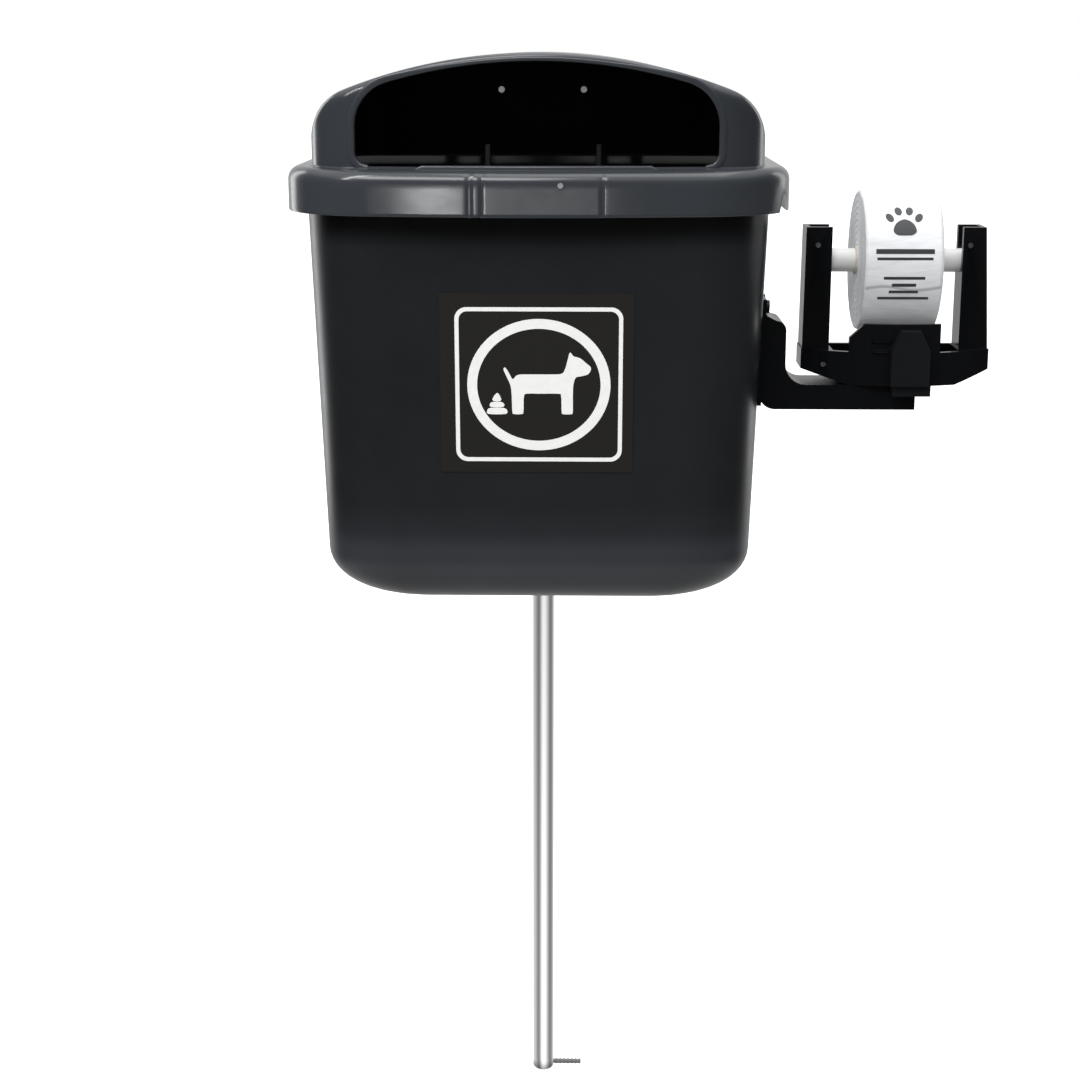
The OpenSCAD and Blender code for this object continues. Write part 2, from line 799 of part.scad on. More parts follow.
module cradle_screws() {
    color(steel) {
        for (x = upright_screw_xs)
            translate([x, spindle_y - upright_d / 2, cradle_screw_z]) along_y() {
                translate([0, 0, -1]) cylinder(r = 2.2, h = 1);
                cylinder(r = screw_r, h = 3.5);
            }
        translate([base_screw_x, base_screw_y, base_screw_z]) along_y() {
            translate([0, 0, -1.5]) cylinder(r = 2.2, h = 1.5);
            cylinder(r = screw_r, h = 8);
        }
    }
}

// ---- spindle and roll ----

module spindle_tube() {
    x0 = left_outer + 4.5;
    x1 = right_outer - 7.5;
    color(white) translate([x0, spindle_y, spindle_z]) rotate([0, 90, 0]) difference() {
        cylinder(d = spindle_d, h = x1 - x0);
        translate([0, 0, -1]) cylinder(d = spindle_d - 4, h = x1 - x0 + 2);
    }
}

module roll_core() {
    color(board) translate([roll_x - 1, spindle_y, spindle_z]) rotate([0, 90, 0]) difference() {
        cylinder(r = core_out, h = roll_w + 2);
        translate([0, 0, -1]) cylinder(r = core_in, h = roll_w + 4);
    }
}

module bag_roll() {
    color(white) translate([roll_x, spindle_y, spindle_z]) rotate([0, 90, 0]) difference() {
        cylinder(d = roll_d, h = roll_w);
        translate([0, 0, -1]) cylinder(r = core_out + eps, h = roll_w + 2);
    }
}

pole_tube();
pole_top_cap();
pole_foot_cap();
anchor_bar();
pole_bracket();
bracket_bolts();
bracket_nuts();
clamp_cap_upper();
clamp_cap_lower();
clamp_bolts();
clamp_nuts();
tub();
front_sticker();
bag_ring_clips();
ring_clip_screws();
hinge_brackets();
hinge_pins();
lid_hinge_leaves();
lid();
bag_fin_strip();
strip_rivets();
rim_screw();
hood_pad();
hood_screws();
bag_ring();
dispenser_arm();
arm_backing_plate();
arm_bolts();
arm_nuts();
roll_cradle();
cradle_clip();
cradle_screws();
spindle_tube();
roll_core();
bag_roll();
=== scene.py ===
import json
import math

import bmesh
import bpy
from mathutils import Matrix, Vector


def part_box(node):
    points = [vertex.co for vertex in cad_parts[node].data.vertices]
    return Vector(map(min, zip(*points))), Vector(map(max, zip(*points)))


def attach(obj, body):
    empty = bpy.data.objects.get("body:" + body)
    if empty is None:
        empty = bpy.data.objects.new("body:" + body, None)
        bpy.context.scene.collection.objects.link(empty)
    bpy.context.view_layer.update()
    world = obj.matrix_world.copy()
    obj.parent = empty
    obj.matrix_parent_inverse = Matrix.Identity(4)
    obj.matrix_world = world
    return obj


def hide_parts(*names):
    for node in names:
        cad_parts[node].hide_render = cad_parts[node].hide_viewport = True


# Looks of a pole-mounted dog waste bin with a bag dispenser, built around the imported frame.
# Lengths in this script are millimetres in the frame's axes: +X right, -Y front, +Z up.

MM = 0.001
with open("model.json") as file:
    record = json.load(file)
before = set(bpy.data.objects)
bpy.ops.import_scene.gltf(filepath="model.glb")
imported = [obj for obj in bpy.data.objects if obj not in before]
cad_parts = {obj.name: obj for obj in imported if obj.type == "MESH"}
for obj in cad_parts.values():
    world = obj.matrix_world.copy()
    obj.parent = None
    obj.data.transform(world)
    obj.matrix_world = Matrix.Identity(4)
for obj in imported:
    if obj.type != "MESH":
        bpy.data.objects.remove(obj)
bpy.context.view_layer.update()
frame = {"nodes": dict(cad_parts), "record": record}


def box_mm(node):
    """Lowest and highest corner of a CAD node, in millimetres."""
    low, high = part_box(node)
    return low / MM, high / MM


LID_LOW, LID_HIGH = box_mm("lid")
TUB_LOW, TUB_HIGH = box_mm("tub")
ROLL_LOW, ROLL_HIGH = box_mm("bag_roll")
SIGN_LOW, SIGN_HIGH = box_mm("front_sticker")
CRADLE_LOW = box_mm("roll_cradle")[0]

# Lid
RIM_HALF = (LID_HIGH.x - LID_LOW.x) / 2
RIM_FRONT = LID_LOW.y
RIM_REAR = -18.0
RIM_Z = LID_LOW.z
RIM_H = 36.0
DECK_Z = RIM_Z + RIM_H
RIM_FILLET = 11.0
RIM_FRONT_R = 85.0
RIM_REAR_R = 34.0
BOW_R = 900.0
LID_WALL = 3.0
HOOD_HALF = 183.0
HOOD_REAR = -38.0
HOOD_FRONT = RIM_FRONT + 18
HOOD_FRONT_R = 46.0
HOOD_REAR_R = 40.0
HOOD_Z = LID_HIGH.z
HOOD_ARCH_R = 425.0
HOOD_SHOULDER = 46.0
HOOD_EDGE = 9.0
MOUTH_HALF = 144.0
MOUTH_TOP = HOOD_Z - 6
MOUTH_ARCH_R = 430.0
MOUTH_SHOULDER = 36.0
MOUTH_CORNER = 11.0

# Tub
TUB_HALF = (TUB_HIGH.x - TUB_LOW.x) / 2
TUB_TOP = TUB_HIGH.z
TUB_Z = TUB_LOW.z
TUB_REAR = TUB_HIGH.y
TUB_FRONT = TUB_LOW.y
TUB_WALL = 3.0
SIDE_SLOPE = 0.0298
FRONT_SLOPE = 0.0734


# ---- geometry helpers ----


def arc(cx, cy, r, start, end, steps):
    """Points along an arc, angles in degrees."""
    angles = [math.radians(start + (end - start) * i / steps) for i in range(steps + 1)]
    return [(cx + r * math.cos(a), cy + r * math.sin(a)) for a in angles]


def outline(half, rear, front, rf, rr, bow_r, corner=14, bow=90):
    """Rounded outline seen from above, anticlockwise from the right rear corner."""
    cx = half - rf
    cy = front + bow_r - math.sqrt((bow_r - rf) ** 2 - cx * cx)
    tilt = math.degrees(math.asin(cx / (bow_r - rf)))
    points = arc(half - rr, rear - rr, rr, 0, 90, corner)
    points += arc(-half + rr, rear - rr, rr, 90, 180, corner)
    points += arc(-cx, cy, rf, 180, 270 - tilt, corner)
    points += arc(0, front + bow_r, bow_r, 270 - tilt, 270 + tilt, bow)[1:-1]
    points += arc(cx, cy, rf, 270 + tilt, 360, corner)
    return points


def ring_at(points, z):
    return [Vector((x, y, z)) for x, y in points]


def mesh_object(name, verts, faces, body, material, smooth=True):
    """Mesh in millimetres, made into a piece that rides on a body."""
    mesh = bpy.data.meshes.new(name)
    mesh.from_pydata([Vector(v) * MM for v in verts], [], faces)
    mesh.validate()
    bm = bmesh.new()
    bm.from_mesh(mesh)
    bmesh.ops.remove_doubles(bm, verts=bm.verts, dist=0.00001)
    bmesh.ops.recalc_face_normals(bm, faces=bm.faces)
    for face in bm.faces:
        face.smooth = smooth
    bm.to_mesh(mesh)
    bm.free()
    obj = bpy.data.objects.new(name, mesh)
    bpy.context.scene.collection.objects.link(obj)
    mesh.materials.append(material)
    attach(obj, body)
    return obj


def loft(rings, cap_ends=True, close_path=False):
    """Vertices and faces through rings of equal length."""
    n = len(rings[0])
    verts = [v for ring in rings for v in ring]
    faces = []
    last = len(rings) if close_path else len(rings) - 1
    for k in range(last):
        a, b = k * n, ((k + 1) % len(rings)) * n
        for i in range(n):
            j = (i + 1) % n
            faces.append((a + i, a + j, b + j, b + i))
    if cap_ends and not close_path:
        faces.append(tuple(range(n - 1, -1, -1)))
        faces.append(tuple((len(rings) - 1) * n + i for i in range(n)))
    return verts, faces


def grid_faces(verts, faces, rows):
    """Adds a patch given as rows of points."""
    base = len(verts)
    width = len(rows[0])
    for row in rows:
        verts.extend(row)
    for r in range(len(rows) - 1):
        for c in range(width - 1):
            a = base + r * width + c
            faces.append((a, a + 1, a + width + 1, a + width))


def bevel(obj, width, segments=3, angle=30):
    """Rounds the sharp edges of an object with a modifier."""
    mod = obj.modifiers.new("edge_round", "BEVEL")
    mod.width = width * MM
    mod.segments = segments
    mod.limit_method = "ANGLE"
    mod.angle_limit = math.radians(angle)
    mod.use_clamp_overlap = True
    mod.harden_normals = False
    return obj


def solidify(obj, thickness, offset=-1):
    mod = obj.modifiers.new("wall", "SOLIDIFY")
    mod.thickness = thickness * MM
    mod.offset = offset
    mod.use_even_offset = True
    return obj


def smooth_by_angle(obj, degrees=35):
    """Smooth shading with sharp edges kept."""
    mesh = obj.data
    for polygon in mesh.polygons:
        polygon.use_smooth = True
    bm = bmesh.new()
    bm.from_mesh(mesh)
    limit = math.radians(degrees)
    for edge in bm.edges:
        if len(edge.link_faces) == 2:
            edge.smooth = edge.calc_face_angle(0) < limit
    bm.to_mesh(mesh)
    bm.free()


# ---- materials ----


class Nodes:
    """Short calls for building a node tree."""

    def __init__(self, name):
        self.material = bpy.data.materials.new(name)
        self.material.use_nodes = True
        self.tree = self.material.node_tree
        self.shader = self.tree.nodes["Principled BSDF"]

    def add(self, kind, **values):
        node = self.tree.nodes.new(kind)
        for key, value in values.items():
            if key in node.inputs:
                node.inputs[key].default_value = value
            else:
                setattr(node, key, value)
        return node

    def link(self, out, into):
        self.tree.links.new(out, into)

    def noise(self, scale, detail=3.0, rough=0.5):
        node = self.add("ShaderNodeTexNoise", Scale=scale, Detail=detail, Roughness=rough)
        self.link(self.tree_coords, node.inputs["Vector"])
        return node.outputs["Fac"]

    def use_object_coords(self):
        self.tree_coords = self.add("ShaderNodeTexCoord").outputs["Object"]
        return self

    def ramp(self, fac, low, high, low_at=0.35, high_at=0.65):
        node = self.add("ShaderNodeValToRGB")
        node.color_ramp.elements[0].position = low_at
        node.color_ramp.elements[1].position = high_at
        node.color_ramp.elements[0].color = low
        node.color_ramp.elements[1].color = high
        self.link(fac, node.inputs["Fac"])
        return node.outputs["Color"]

    def bump(self, height, strength, distance, normal=None):
        node = self.add("ShaderNodeBump", Strength=strength, Distance=distance)
        self.link(height, node.inputs["Height"])
        if normal is not None:
            self.link(normal, node.inputs["Normal"])
        return node.outputs["Normal"]

    def set(self, **values):
        for key, value in values.items():
            self.shader.inputs[key.replace("_", " ")].default_value = value
        return self


def paint_light_by_height(n, color_out, painted_light_stops):
    """Paints light and shade by height: multiplies a colour by a factor that changes with height; the stops
    are (mm, factor).
    """
    low, high = painted_light_stops[0][0], painted_light_stops[-1][0]
    height = n.add("ShaderNodeSeparateXYZ")
    n.link(n.tree_coords, height.inputs[0])
    along = n.add("ShaderNodeMapRange")
    along.inputs["From Min"].default_value = low * MM
    along.inputs["From Max"].default_value = high * MM
    n.link(height.outputs["Z"], along.inputs["Value"])
    ramp = n.add("ShaderNodeValToRGB")
    elements = ramp.color_ramp.elements
    for i, (z, factor) in enumerate(painted_light_stops):
        at = (z - low) / (high - low)
        element = elements[0] if i == 0 else elements[-1] if i == len(painted_light_stops) - 1 else elements.new(at)
        element.position = at
        element.color = (factor, factor, factor, 1)
    n.link(along.outputs["Result"], ramp.inputs["Fac"])
    mix = n.add("ShaderNodeMix", data_type="RGBA", blend_type="MULTIPLY")
    mix.inputs["Factor"].default_value = 1.0
    n.link(color_out, mix.inputs[6])
    n.link(ramp.outputs["Color"], mix.inputs[7])
    return mix.outputs[2]


def moulded_plastic(name, color, rough, grain=0.05, scale=900.0, edge_wear_and_highlight=0.35, wavy=0.0, painted_light_stops=None, gloss=0.5):
    """Injection-moulded plastic: fine grain, soft flow variation, slightly paler edges that are partly rubbed
    by use and partly a painted highlight, and painted light and shade by height where stops are given.
    """
    n = Nodes(name).use_object_coords()
    broad = n.noise(6.0, 2.0)
    speck = n.noise(scale, 2.0)
    streak = n.noise(60.0, 4.0, 0.6)
    darker = tuple(c * 0.88 for c in color[:3]) + (1.0,)
    paler = tuple(min(1.0, c * 1.12) for c in color[:3]) + (1.0,)
    body = n.ramp(broad, darker, paler)
    # Paler edges: partly rubbed by use, partly a painted highlight along the rims of the parts.
    edge = n.add("ShaderNodeNewGeometry").outputs["Pointiness"]
    worn_and_lit_edge = n.add("ShaderNodeMapRange")
    worn_and_lit_edge.inputs["From Min"].default_value = 0.53
    worn_and_lit_edge.inputs["From Max"].default_value = 0.62
    worn_and_lit_edge.inputs["To Max"].default_value = edge_wear_and_highlight
    n.link(edge, worn_and_lit_edge.inputs["Value"])
    mix = n.add("ShaderNodeMix", data_type="RGBA")
    n.link(worn_and_lit_edge.outputs["Result"], mix.inputs["Factor"])
    n.link(body, mix.inputs[6])
    mix.inputs[7].default_value = tuple(min(1.0, c * 1.9 + 0.01) for c in color[:3]) + (1.0,)
    # Painted light and shade by height, where stops are given.
    shaded = paint_light_by_height(n, mix.outputs[2], painted_light_stops) if painted_light_stops else mix.outputs[2]
    n.link(shaded, n.shader.inputs["Base Color"])
    rough_map = n.add("ShaderNodeMapRange")
    rough_map.inputs["To Min"].default_value = rough - 0.05
    rough_map.inputs["To Max"].default_value = rough + 0.08
    n.link(streak, rough_map.inputs["Value"])
    n.link(rough_map.outputs["Result"], n.shader.inputs["Roughness"])
    n.set(Specular_IOR_Level=gloss)
    surface = n.bump(speck, grain, 0.0004)
    if wavy:
        surface = n.bump(n.noise(17.0, 2.5), wavy, 0.004, surface)
    n.link(surface, n.shader.inputs["Normal"])
    return n.material


def metal(name, color, rough, scratch=0.08):
    """Drawn or plated steel with fine lines along its length."""
    n = Nodes(name).use_object_coords()
    stretch = n.add("ShaderNodeMapping")
    stretch.inputs["Scale"].default_value = (900.0, 900.0, 12.0)
    n.link(n.tree_coords, stretch.inputs["Vector"])
    lines = n.add("ShaderNodeTexNoise", Scale=1.0, Detail=3.0)
    n.link(stretch.outputs["Vector"], lines.inputs["Vector"])
    rough_map = n.add("ShaderNodeMapRange")
    rough_map.inputs["To Min"].default_value = rough * 0.7
    rough_map.inputs["To Max"].default_value = rough * 1.5
    n.link(lines.outputs["Fac"], rough_map.inputs["Value"])
    n.link(rough_map.outputs["Result"], n.shader.inputs["Roughness"])
    n.link(n.bump(lines.outputs["Fac"], scratch, 0.0002), n.shader.inputs["Normal"])
    tint = n.ramp(n.noise(14.0), tuple(c * 0.94 for c in color[:3]) + (1,), color)
    n.link(tint, n.shader.inputs["Base Color"])
    n.set(Metallic=1.0)
    return n.material


# Painted reflection across the polished tube: (position from its left to its right side, value)
TUBE_PAINTED_REFLECTION = ((0.0, 0.58), (0.08, 0.50), (0.16, 0.38), (0.25, 0.17), (0.34, 0.26), (0.43, 0.78), (0.52, 1.0),
              (0.61, 0.82), (0.70, 0.48), (0.80, 0.18), (0.88, 0.20), (1.0, 0.66))
# Painted shade darkening towards the tube's foot: (height, factor)
FOOT_PAINTED_SHADE = ((0, 0.28), (4, 0.42), (11, 1.0), (20, 1.0))


def painted_reflection_tube(name):
    """Polished tube with a painted reflection: a white streak near the middle, a dark band on each side of it
    and paler flanks.

    The bands follow how far a point lies to the left or right of the tube's middle as it is seen.
    """
    n = Nodes(name).use_object_coords()
    geometry = n.add("ShaderNodeNewGeometry")
    level = []
    for output in ("Incoming", "Normal"):
        flat = n.add("ShaderNodeVectorMath", operation="MULTIPLY")
        flat.inputs[1].default_value = (1, 1, 0)
        n.link(geometry.outputs[output], flat.inputs[0])
        unit = n.add("ShaderNodeVectorMath", operation="NORMALIZE")
        n.link(flat.outputs["Vector"], unit.inputs[0])
        level.append(unit.outputs["Vector"])
    cross = n.add("ShaderNodeVectorMath", operation="CROSS_PRODUCT")
    n.link(level[0], cross.inputs[0])
    n.link(level[1], cross.inputs[1])
    split = n.add("ShaderNodeSeparateXYZ")
    n.link(cross.outputs["Vector"], split.inputs[0])
    across = n.add("ShaderNodeMapRange")
    across.inputs["From Min"].default_value = -1.0
    n.link(split.outputs["Z"], across.inputs["Value"])
    bands = n.add("ShaderNodeValToRGB")
    ramp = bands.color_ramp
    ramp.elements[0].color = (TUBE_PAINTED_REFLECTION[0][1],) * 3 + (1,)
    ramp.elements[1].color = (TUBE_PAINTED_REFLECTION[-1][1],) * 3 + (1,)
    for position, value in TUBE_PAINTED_REFLECTION[1:-1]:
        ramp.elements.new(position).color = (value, value, value, 1)
    n.link(across.outputs["Result"], bands.inputs["Fac"])
    shaded = paint_light_by_height(n, bands.outputs["Color"], FOOT_PAINTED_SHADE)
    n.link(shaded, n.shader.inputs["Base Color"])
    # The painted reflection and the painted foot shade also feed the emission, so the tube shines by itself:
    # painted light.
    n.link(shaded, n.shader.inputs["Emission Color"])
    n.link(n.bump(n.noise(500.0), 0.02, 0.0002), n.shader.inputs["Normal"])
    n.set(Metallic=0.2, Roughness=0.22, Emission_Strength=0.66)
    return n.material


def film(name, color):
    """Thin plastic film wound in layers: soft sheen and small creases."""
    n = Nodes(name).use_object_coords()
    crease = n.add("ShaderNodeMapping")
    crease.inputs["Scale"].default_value = (1.0, 3.0, 3.0)
    n.link(n.tree_coords, crease.inputs["Vector"])
    folds = n.add("ShaderNodeTexNoise", Scale=26.0, Detail=6.0, Roughness=0.62, Distortion=0.6)
    n.link(crease.outputs["Vector"], folds.inputs["Vector"])
    n.link(n.bump(folds.outputs["Fac"], 0.35, 0.0025), n.shader.inputs["Normal"])
    tint = n.ramp(folds.outputs["Fac"], tuple(c * 0.86 for c in color[:3]) + (1,), color)
    n.link(tint, n.shader.inputs["Base Color"])
    n.set(Roughness=0.42, Subsurface_Weight=0.12, Subsurface_Radius=(0.004, 0.004, 0.004))
    # The film shines faintly in its own colour: painted light that brightens the roll.
    n.set(Emission_Color=color, Emission_Strength=0.14)
    return n.material


def board(name):
    """Plain brown board with fibres."""
    n = Nodes(name).use_object_coords()
    fibre = n.noise(420.0, 5.0, 0.7)
    n.link(n.ramp(fibre, (0.55, 0.50, 0.42, 1), (0.74, 0.70, 0.62, 1)), n.shader.inputs["Base Color"])
    n.link(n.bump(fibre, 0.4, 0.0005), n.shader.inputs["Normal"])
    n.set(Roughness=0.85)
    return n.material


def ink(name, color, rough=0.45, painted_glow=0.0):
    """Printed ink or vinyl: nearly flat, with a faint mottle."""
    n = Nodes(name).use_object_coords()
    mottle = n.noise(220.0, 4.0)
    low = tuple(c * 0.93 for c in color[:3]) + (1,)
    n.link(n.ramp(mottle, low, color), n.shader.inputs["Base Color"])
    n.link(n.bump(mottle, 0.03, 0.0002), n.shader.inputs["Normal"])
    # The emission makes the print shine in its own colour, as painted light.
    n.set(Roughness=rough, Emission_Color=color, Emission_Strength=painted_glow)
    return n.material


# Painted light on the tub by height, as (height, factor): a painted reflection makes a paler band near its
# foot and a painted shadow darkens the skirt under the rim
TUB_PAINTED_LIGHT = ((576, 1.5), (590, 2.0), (604, 2.6), (626, 2.6), (640, 1.45), (652, 1.25), (664, 1.0),
             (876, 1.0), (884, 0.55), (892, 0.18), (926, 0.12))
# The tub's plastic carries the painted reflection near its foot and the painted shadow under the rim.
TUB_PLASTIC = moulded_plastic("tub_plastic", (0.0150, 0.0168, 0.0198, 1), 0.30, edge_wear_and_highlight=0.1, painted_light_stops=TUB_PAINTED_LIGHT)
LID_PLASTIC = moulded_plastic("lid_plastic", (0.036, 0.040, 0.046, 1), 0.17, grain=0.02, wavy=0.10)
BLACK_PLASTIC = moulded_plastic("black_plastic", (0.0030, 0.0034, 0.0042, 1), 0.22, grain=0.02, edge_wear_and_highlight=0.2,
                                wavy=0.06, gloss=0.25)
# Painted shade: one dark matte colour for the inner side of the hood shell and for the pad and fin strip
# inside it, standing for the shade in the hood.
INNER_PAINTED_SHADE = moulded_plastic("inner_painted_shade", (0.0075, 0.0080, 0.0095, 1), 0.40, edge_wear_and_highlight=0.05, gloss=0.35)
# Painted highlight: the clip is a shade lighter than the cradle's black plastic, standing in for the light
# caught on its edges.
CLIP_PAINTED_HIGHLIGHT = moulded_plastic("clip_painted_highlight", (0.0085, 0.0092, 0.0105, 1), 0.28, grain=0.02, edge_wear_and_highlight=0.0,
                               gloss=0.4)
WHITE_PLASTIC = moulded_plastic("white_plastic", (0.80, 0.80, 0.79, 1), 0.35, edge_wear_and_highlight=0.0)
POLISHED_PAINTED_REFLECTION = painted_reflection_tube("polished_steel")
ZINC = metal("zinc_steel", (0.62, 0.63, 0.64, 1), 0.30)
RAW_STEEL = ink("raw_steel", (0.20, 0.20, 0.205, 1), 0.6)
BLACK_STEEL = moulded_plastic("black_steel", (0.012, 0.012, 0.013, 1), 0.45, grain=0.12, scale=500.0)
FILM = film("bag_film", (0.72, 0.73, 0.75, 1))
BOARD = board("cardboard")
VINYL = ink("sign_vinyl", (0.0105, 0.0095, 0.0070, 1), 0.6)
# The sign's white print shines a little by itself: painted light.
SIGN_WHITE = ink("sign_white", (0.88, 0.88, 0.86, 1), 0.5, painted_glow=0.22)
PRINT_GREY = ink("roll_print", (0.035, 0.037, 0.042, 1), 0.5)


# ---- lid ----

# Moulded grooves in the rim's front, as (x, width), and the shallow panel between two of them
GROOVES = ((-52.0, 1.6), (-42.0, 1.6), (51.5, 1.4))
PANEL = (-42.0, 51.5)
PANEL_INSET = 0.7
GROOVE_DEPTH = 1.3


def rim_relief(x):
    """How far the rim's front face is set back at an x: a shallow panel between moulded grooves."""
    depth = PANEL_INSET if PANEL[0] < x < PANEL[1] else 0.0
    for centre, width in GROOVES:
        depth = max(depth, GROOVE_DEPTH * math.exp(-((x - centre) / width) ** 2))
    return depth


def rim_outline(inset, relief=False):
    points = outline(RIM_HALF - inset, RIM_REAR - inset, RIM_FRONT + inset, RIM_FRONT_R - inset,
                     RIM_REAR_R - inset, BOW_R, corner=18, bow=150)
    if relief:
        points = [(x, y + rim_relief(x)) if y < RIM_FRONT + 20 else (x, y) for x, y in points]
    return points


def hood_outline(inset):
    return outline(HOOD_HALF - inset, HOOD_REAR - inset, HOOD_FRONT + inset, HOOD_FRONT_R - inset,
                   HOOD_REAR_R - inset, BOW_R, corner=18, bow=150)


def make_rim():
    """Rim and deck as one swept wall, from the inner lower edge out, over the deck and back inside."""
    top = RIM_H - RIM_FILLET
    rings = [ring_at(rim_outline(LID_WALL), RIM_Z), ring_at(rim_outline(1.0), RIM_Z)]
    for inset, dz in ((0.3, 0.3), (0.0, 1.0), (0.0, 3.0)):
        rings.append(ring_at(rim_outline(inset, relief=True), RIM_Z + dz))
    for k in range(1, 7):
        rings.append(ring_at(rim_outline(0, relief=True), RIM_Z + 3 + (top - 3) * k / 6))
    for k in range(1, 9):
        a = math.radians(90 * k / 8)
        inset = RIM_FILLET * (1 - math.cos(a))
        rings.append(ring_at(rim_outline(inset, relief=k < 7), RIM_Z + top + RIM_FILLET * math.sin(a)))
    rings.append(ring_at(hood_outline(-2.5), DECK_Z))
    rings.append(ring_at(hood_outline(-1.0), DECK_Z + 0.5))
    rings.append(ring_at(hood_outline(0.6), DECK_Z + 1.8))
    rings.append(ring_at(hood_outline(1.6), DECK_Z + 1.8))
    rings.append(ring_at(hood_outline(1.6), DECK_Z - LID_WALL))
    rings.append(ring_at(rim_outline(RIM_FILLET), DECK_Z - LID_WALL))
    rings.append(ring_at(rim_outline(LID_WALL), RIM_Z + top))
    verts, faces = loft(rings, close_path=True)
    rim = mesh_object("lid_rim", verts, faces, "lid", LID_PLASTIC)
    cut_rim_notch(rim)
    smooth_by_angle(rim, 40)
    return rim


def cut_rim_notch(rim):
    """The small lifting notch in the rim's lower edge, near its right front corner."""
    x0, x1, apex = RIM_HALF - 11.5, RIM_HALF - 2.5, RIM_HALF - 6.5
    z0, z1 = RIM_Z - 2, RIM_Z + 14
    y0, y1 = RIM_FRONT + 15, RIM_FRONT + 120
    outline_xz = [(x0, z0), (x1, z0), (apex + 1, z1), (apex - 1, z1)]
    verts = [(x, y, z) for y in (y0, y1) for x, z in outline_xz]
    faces = [(0, 1, 2, 3), (7, 6, 5, 4)] + [(i, i + 4, (i + 1) % 4 + 4, (i + 1) % 4) for i in range(4)]
    cutter = mesh_object("notch_cutter", verts, faces, "lid", LID_PLASTIC, smooth=False)
    mod = rim.modifiers.new("notch", "BOOLEAN")
    mod.operation = "DIFFERENCE"
    mod.solver = "EXACT"
    mod.object = cutter
    apply_modifiers(rim)
    bpy.data.objects.remove(cutter)


def apply_modifiers(obj):
    """Replaces an object's mesh with its evaluated one."""
    bpy.context.view_layer.update()
    graph = bpy.context.evaluated_depsgraph_get()
    mesh = bpy.data.meshes.new_from_object(obj.evaluated_get(graph))
    old = obj.data
    obj.modifiers.clear()
    obj.data = mesh
    bpy.data.meshes.remove(old)


def arch_height(x, half, top, arch_r, shoulder):
    """Height of an arch with rounded shoulders at an x."""
    cx = half - shoulder
    cy = top - arch_r + math.sqrt((arch_r - shoulder) ** 2 - cx * cx)
    limit = arch_r * cx / (arch_r - shoulder)
    if abs(x) <= limit:
        return top - arch_r + math.sqrt(arch_r ** 2 - x * x)
    return cy + math.sqrt(max(0.0, shoulder ** 2 - (abs(x) - cx) ** 2))


def hood_front_y(x, inset=0.0):
    """The hood's front face at an x."""
    half, rf, front = HOOD_HALF - inset, HOOD_FRONT_R - inset, HOOD_FRONT + inset
    cx = half - rf
    cy = front + BOW_R - math.sqrt((BOW_R - rf) ** 2 - cx * cx)
    if abs(x) <= BOW_R * cx / (BOW_R - rf):
        return front + BOW_R - math.sqrt(BOW_R ** 2 - x * x)
    return cy - math.sqrt(max(0.0, rf ** 2 - (abs(x) - cx) ** 2))


def hood_rear_y(x):
    cx = HOOD_HALF - HOOD_REAR_R
    if abs(x) <= cx:
        return HOOD_REAR
    return HOOD_REAR - HOOD_REAR_R + math.sqrt(max(0.0, HOOD_REAR_R ** 2 - (abs(x) - cx) ** 2))


def hood_top_z(x):
    return arch_height(x, HOOD_HALF, HOOD_Z, HOOD_ARCH_R, HOOD_SHOULDER)


def mouth_z(x):
    return arch_height(x, MOUTH_HALF, MOUTH_TOP, MOUTH_ARCH_R, MOUTH_SHOULDER)


def mouth_edge_x(z, base):
    """Half width of the mouth at a height, with its rounded lower corners."""
    drop = base + MOUTH_CORNER - z
    if drop <= 0:
        return MOUTH_HALF
    return MOUTH_HALF - MOUTH_CORNER + math.sqrt(max(0.0, MOUTH_CORNER ** 2 - drop ** 2))


SPLIT_DROP = 22.0
UPPER_ROWS = 6
LOWER_ROWS = 14
EDGE_ROWS = 6
ARM_COLUMNS = 16
HOOD_BASE = DECK_Z - 1.0
MOUTH_BASE = DECK_Z + 2.0


def split_z(x):
    """Height that parts the arm's lower rows from its upper rows."""
    spring = mouth_z(MOUTH_HALF)
    t = max(0.0, (abs(x) - MOUTH_HALF) / (HOOD_HALF - MOUTH_HALF))
    return spring - SPLIT_DROP * t


def edge_size(x):
    """Rounding of the hood's front and rear edges, fading out where the corners turn into the sides."""
    t = max(0.0, (abs(x) - MOUTH_HALF) / (HOOD_HALF - MOUTH_HALF))
    return HOOD_EDGE * math.sqrt(max(0.0, 1 - t ** 4))


def crease(x, y, z, inward, low_z):
    """Points over the rounded edge where a wall at y meets the top at z; inward is +1 or -1 along y."""
    r = min(edge_size(x), (z - low_z) * 0.8)
    points = []
    for k in range(EDGE_ROWS + 1):
        t = k / EDGE_ROWS
        down = r * (1 - t) ** 2
        back = r * t ** 2
        points.append(Vector((x, y + inward * back, z - down)))
    return points


def hood_columns():
    """x of every section of the hood, closer together round the shoulders."""
    inner = MOUTH_HALF - MOUTH_SHOULDER
    half = [inner * i / 16 for i in range(16)]
    half += [inner + MOUTH_SHOULDER * math.sin(math.radians(90 * i / 12)) for i in range(13)]
    start = math.asin((MOUTH_HALF - (HOOD_HALF - HOOD_FRONT_R)) / HOOD_FRONT_R)
    for i in range(1, ARM_COLUMNS + 1):
        a = start + (math.pi / 2 - start) * i / ARM_COLUMNS
        half.append(HOOD_HALF - HOOD_FRONT_R + HOOD_FRONT_R * math.sin(a))
    return [-x for x in reversed(half[1:])] + half


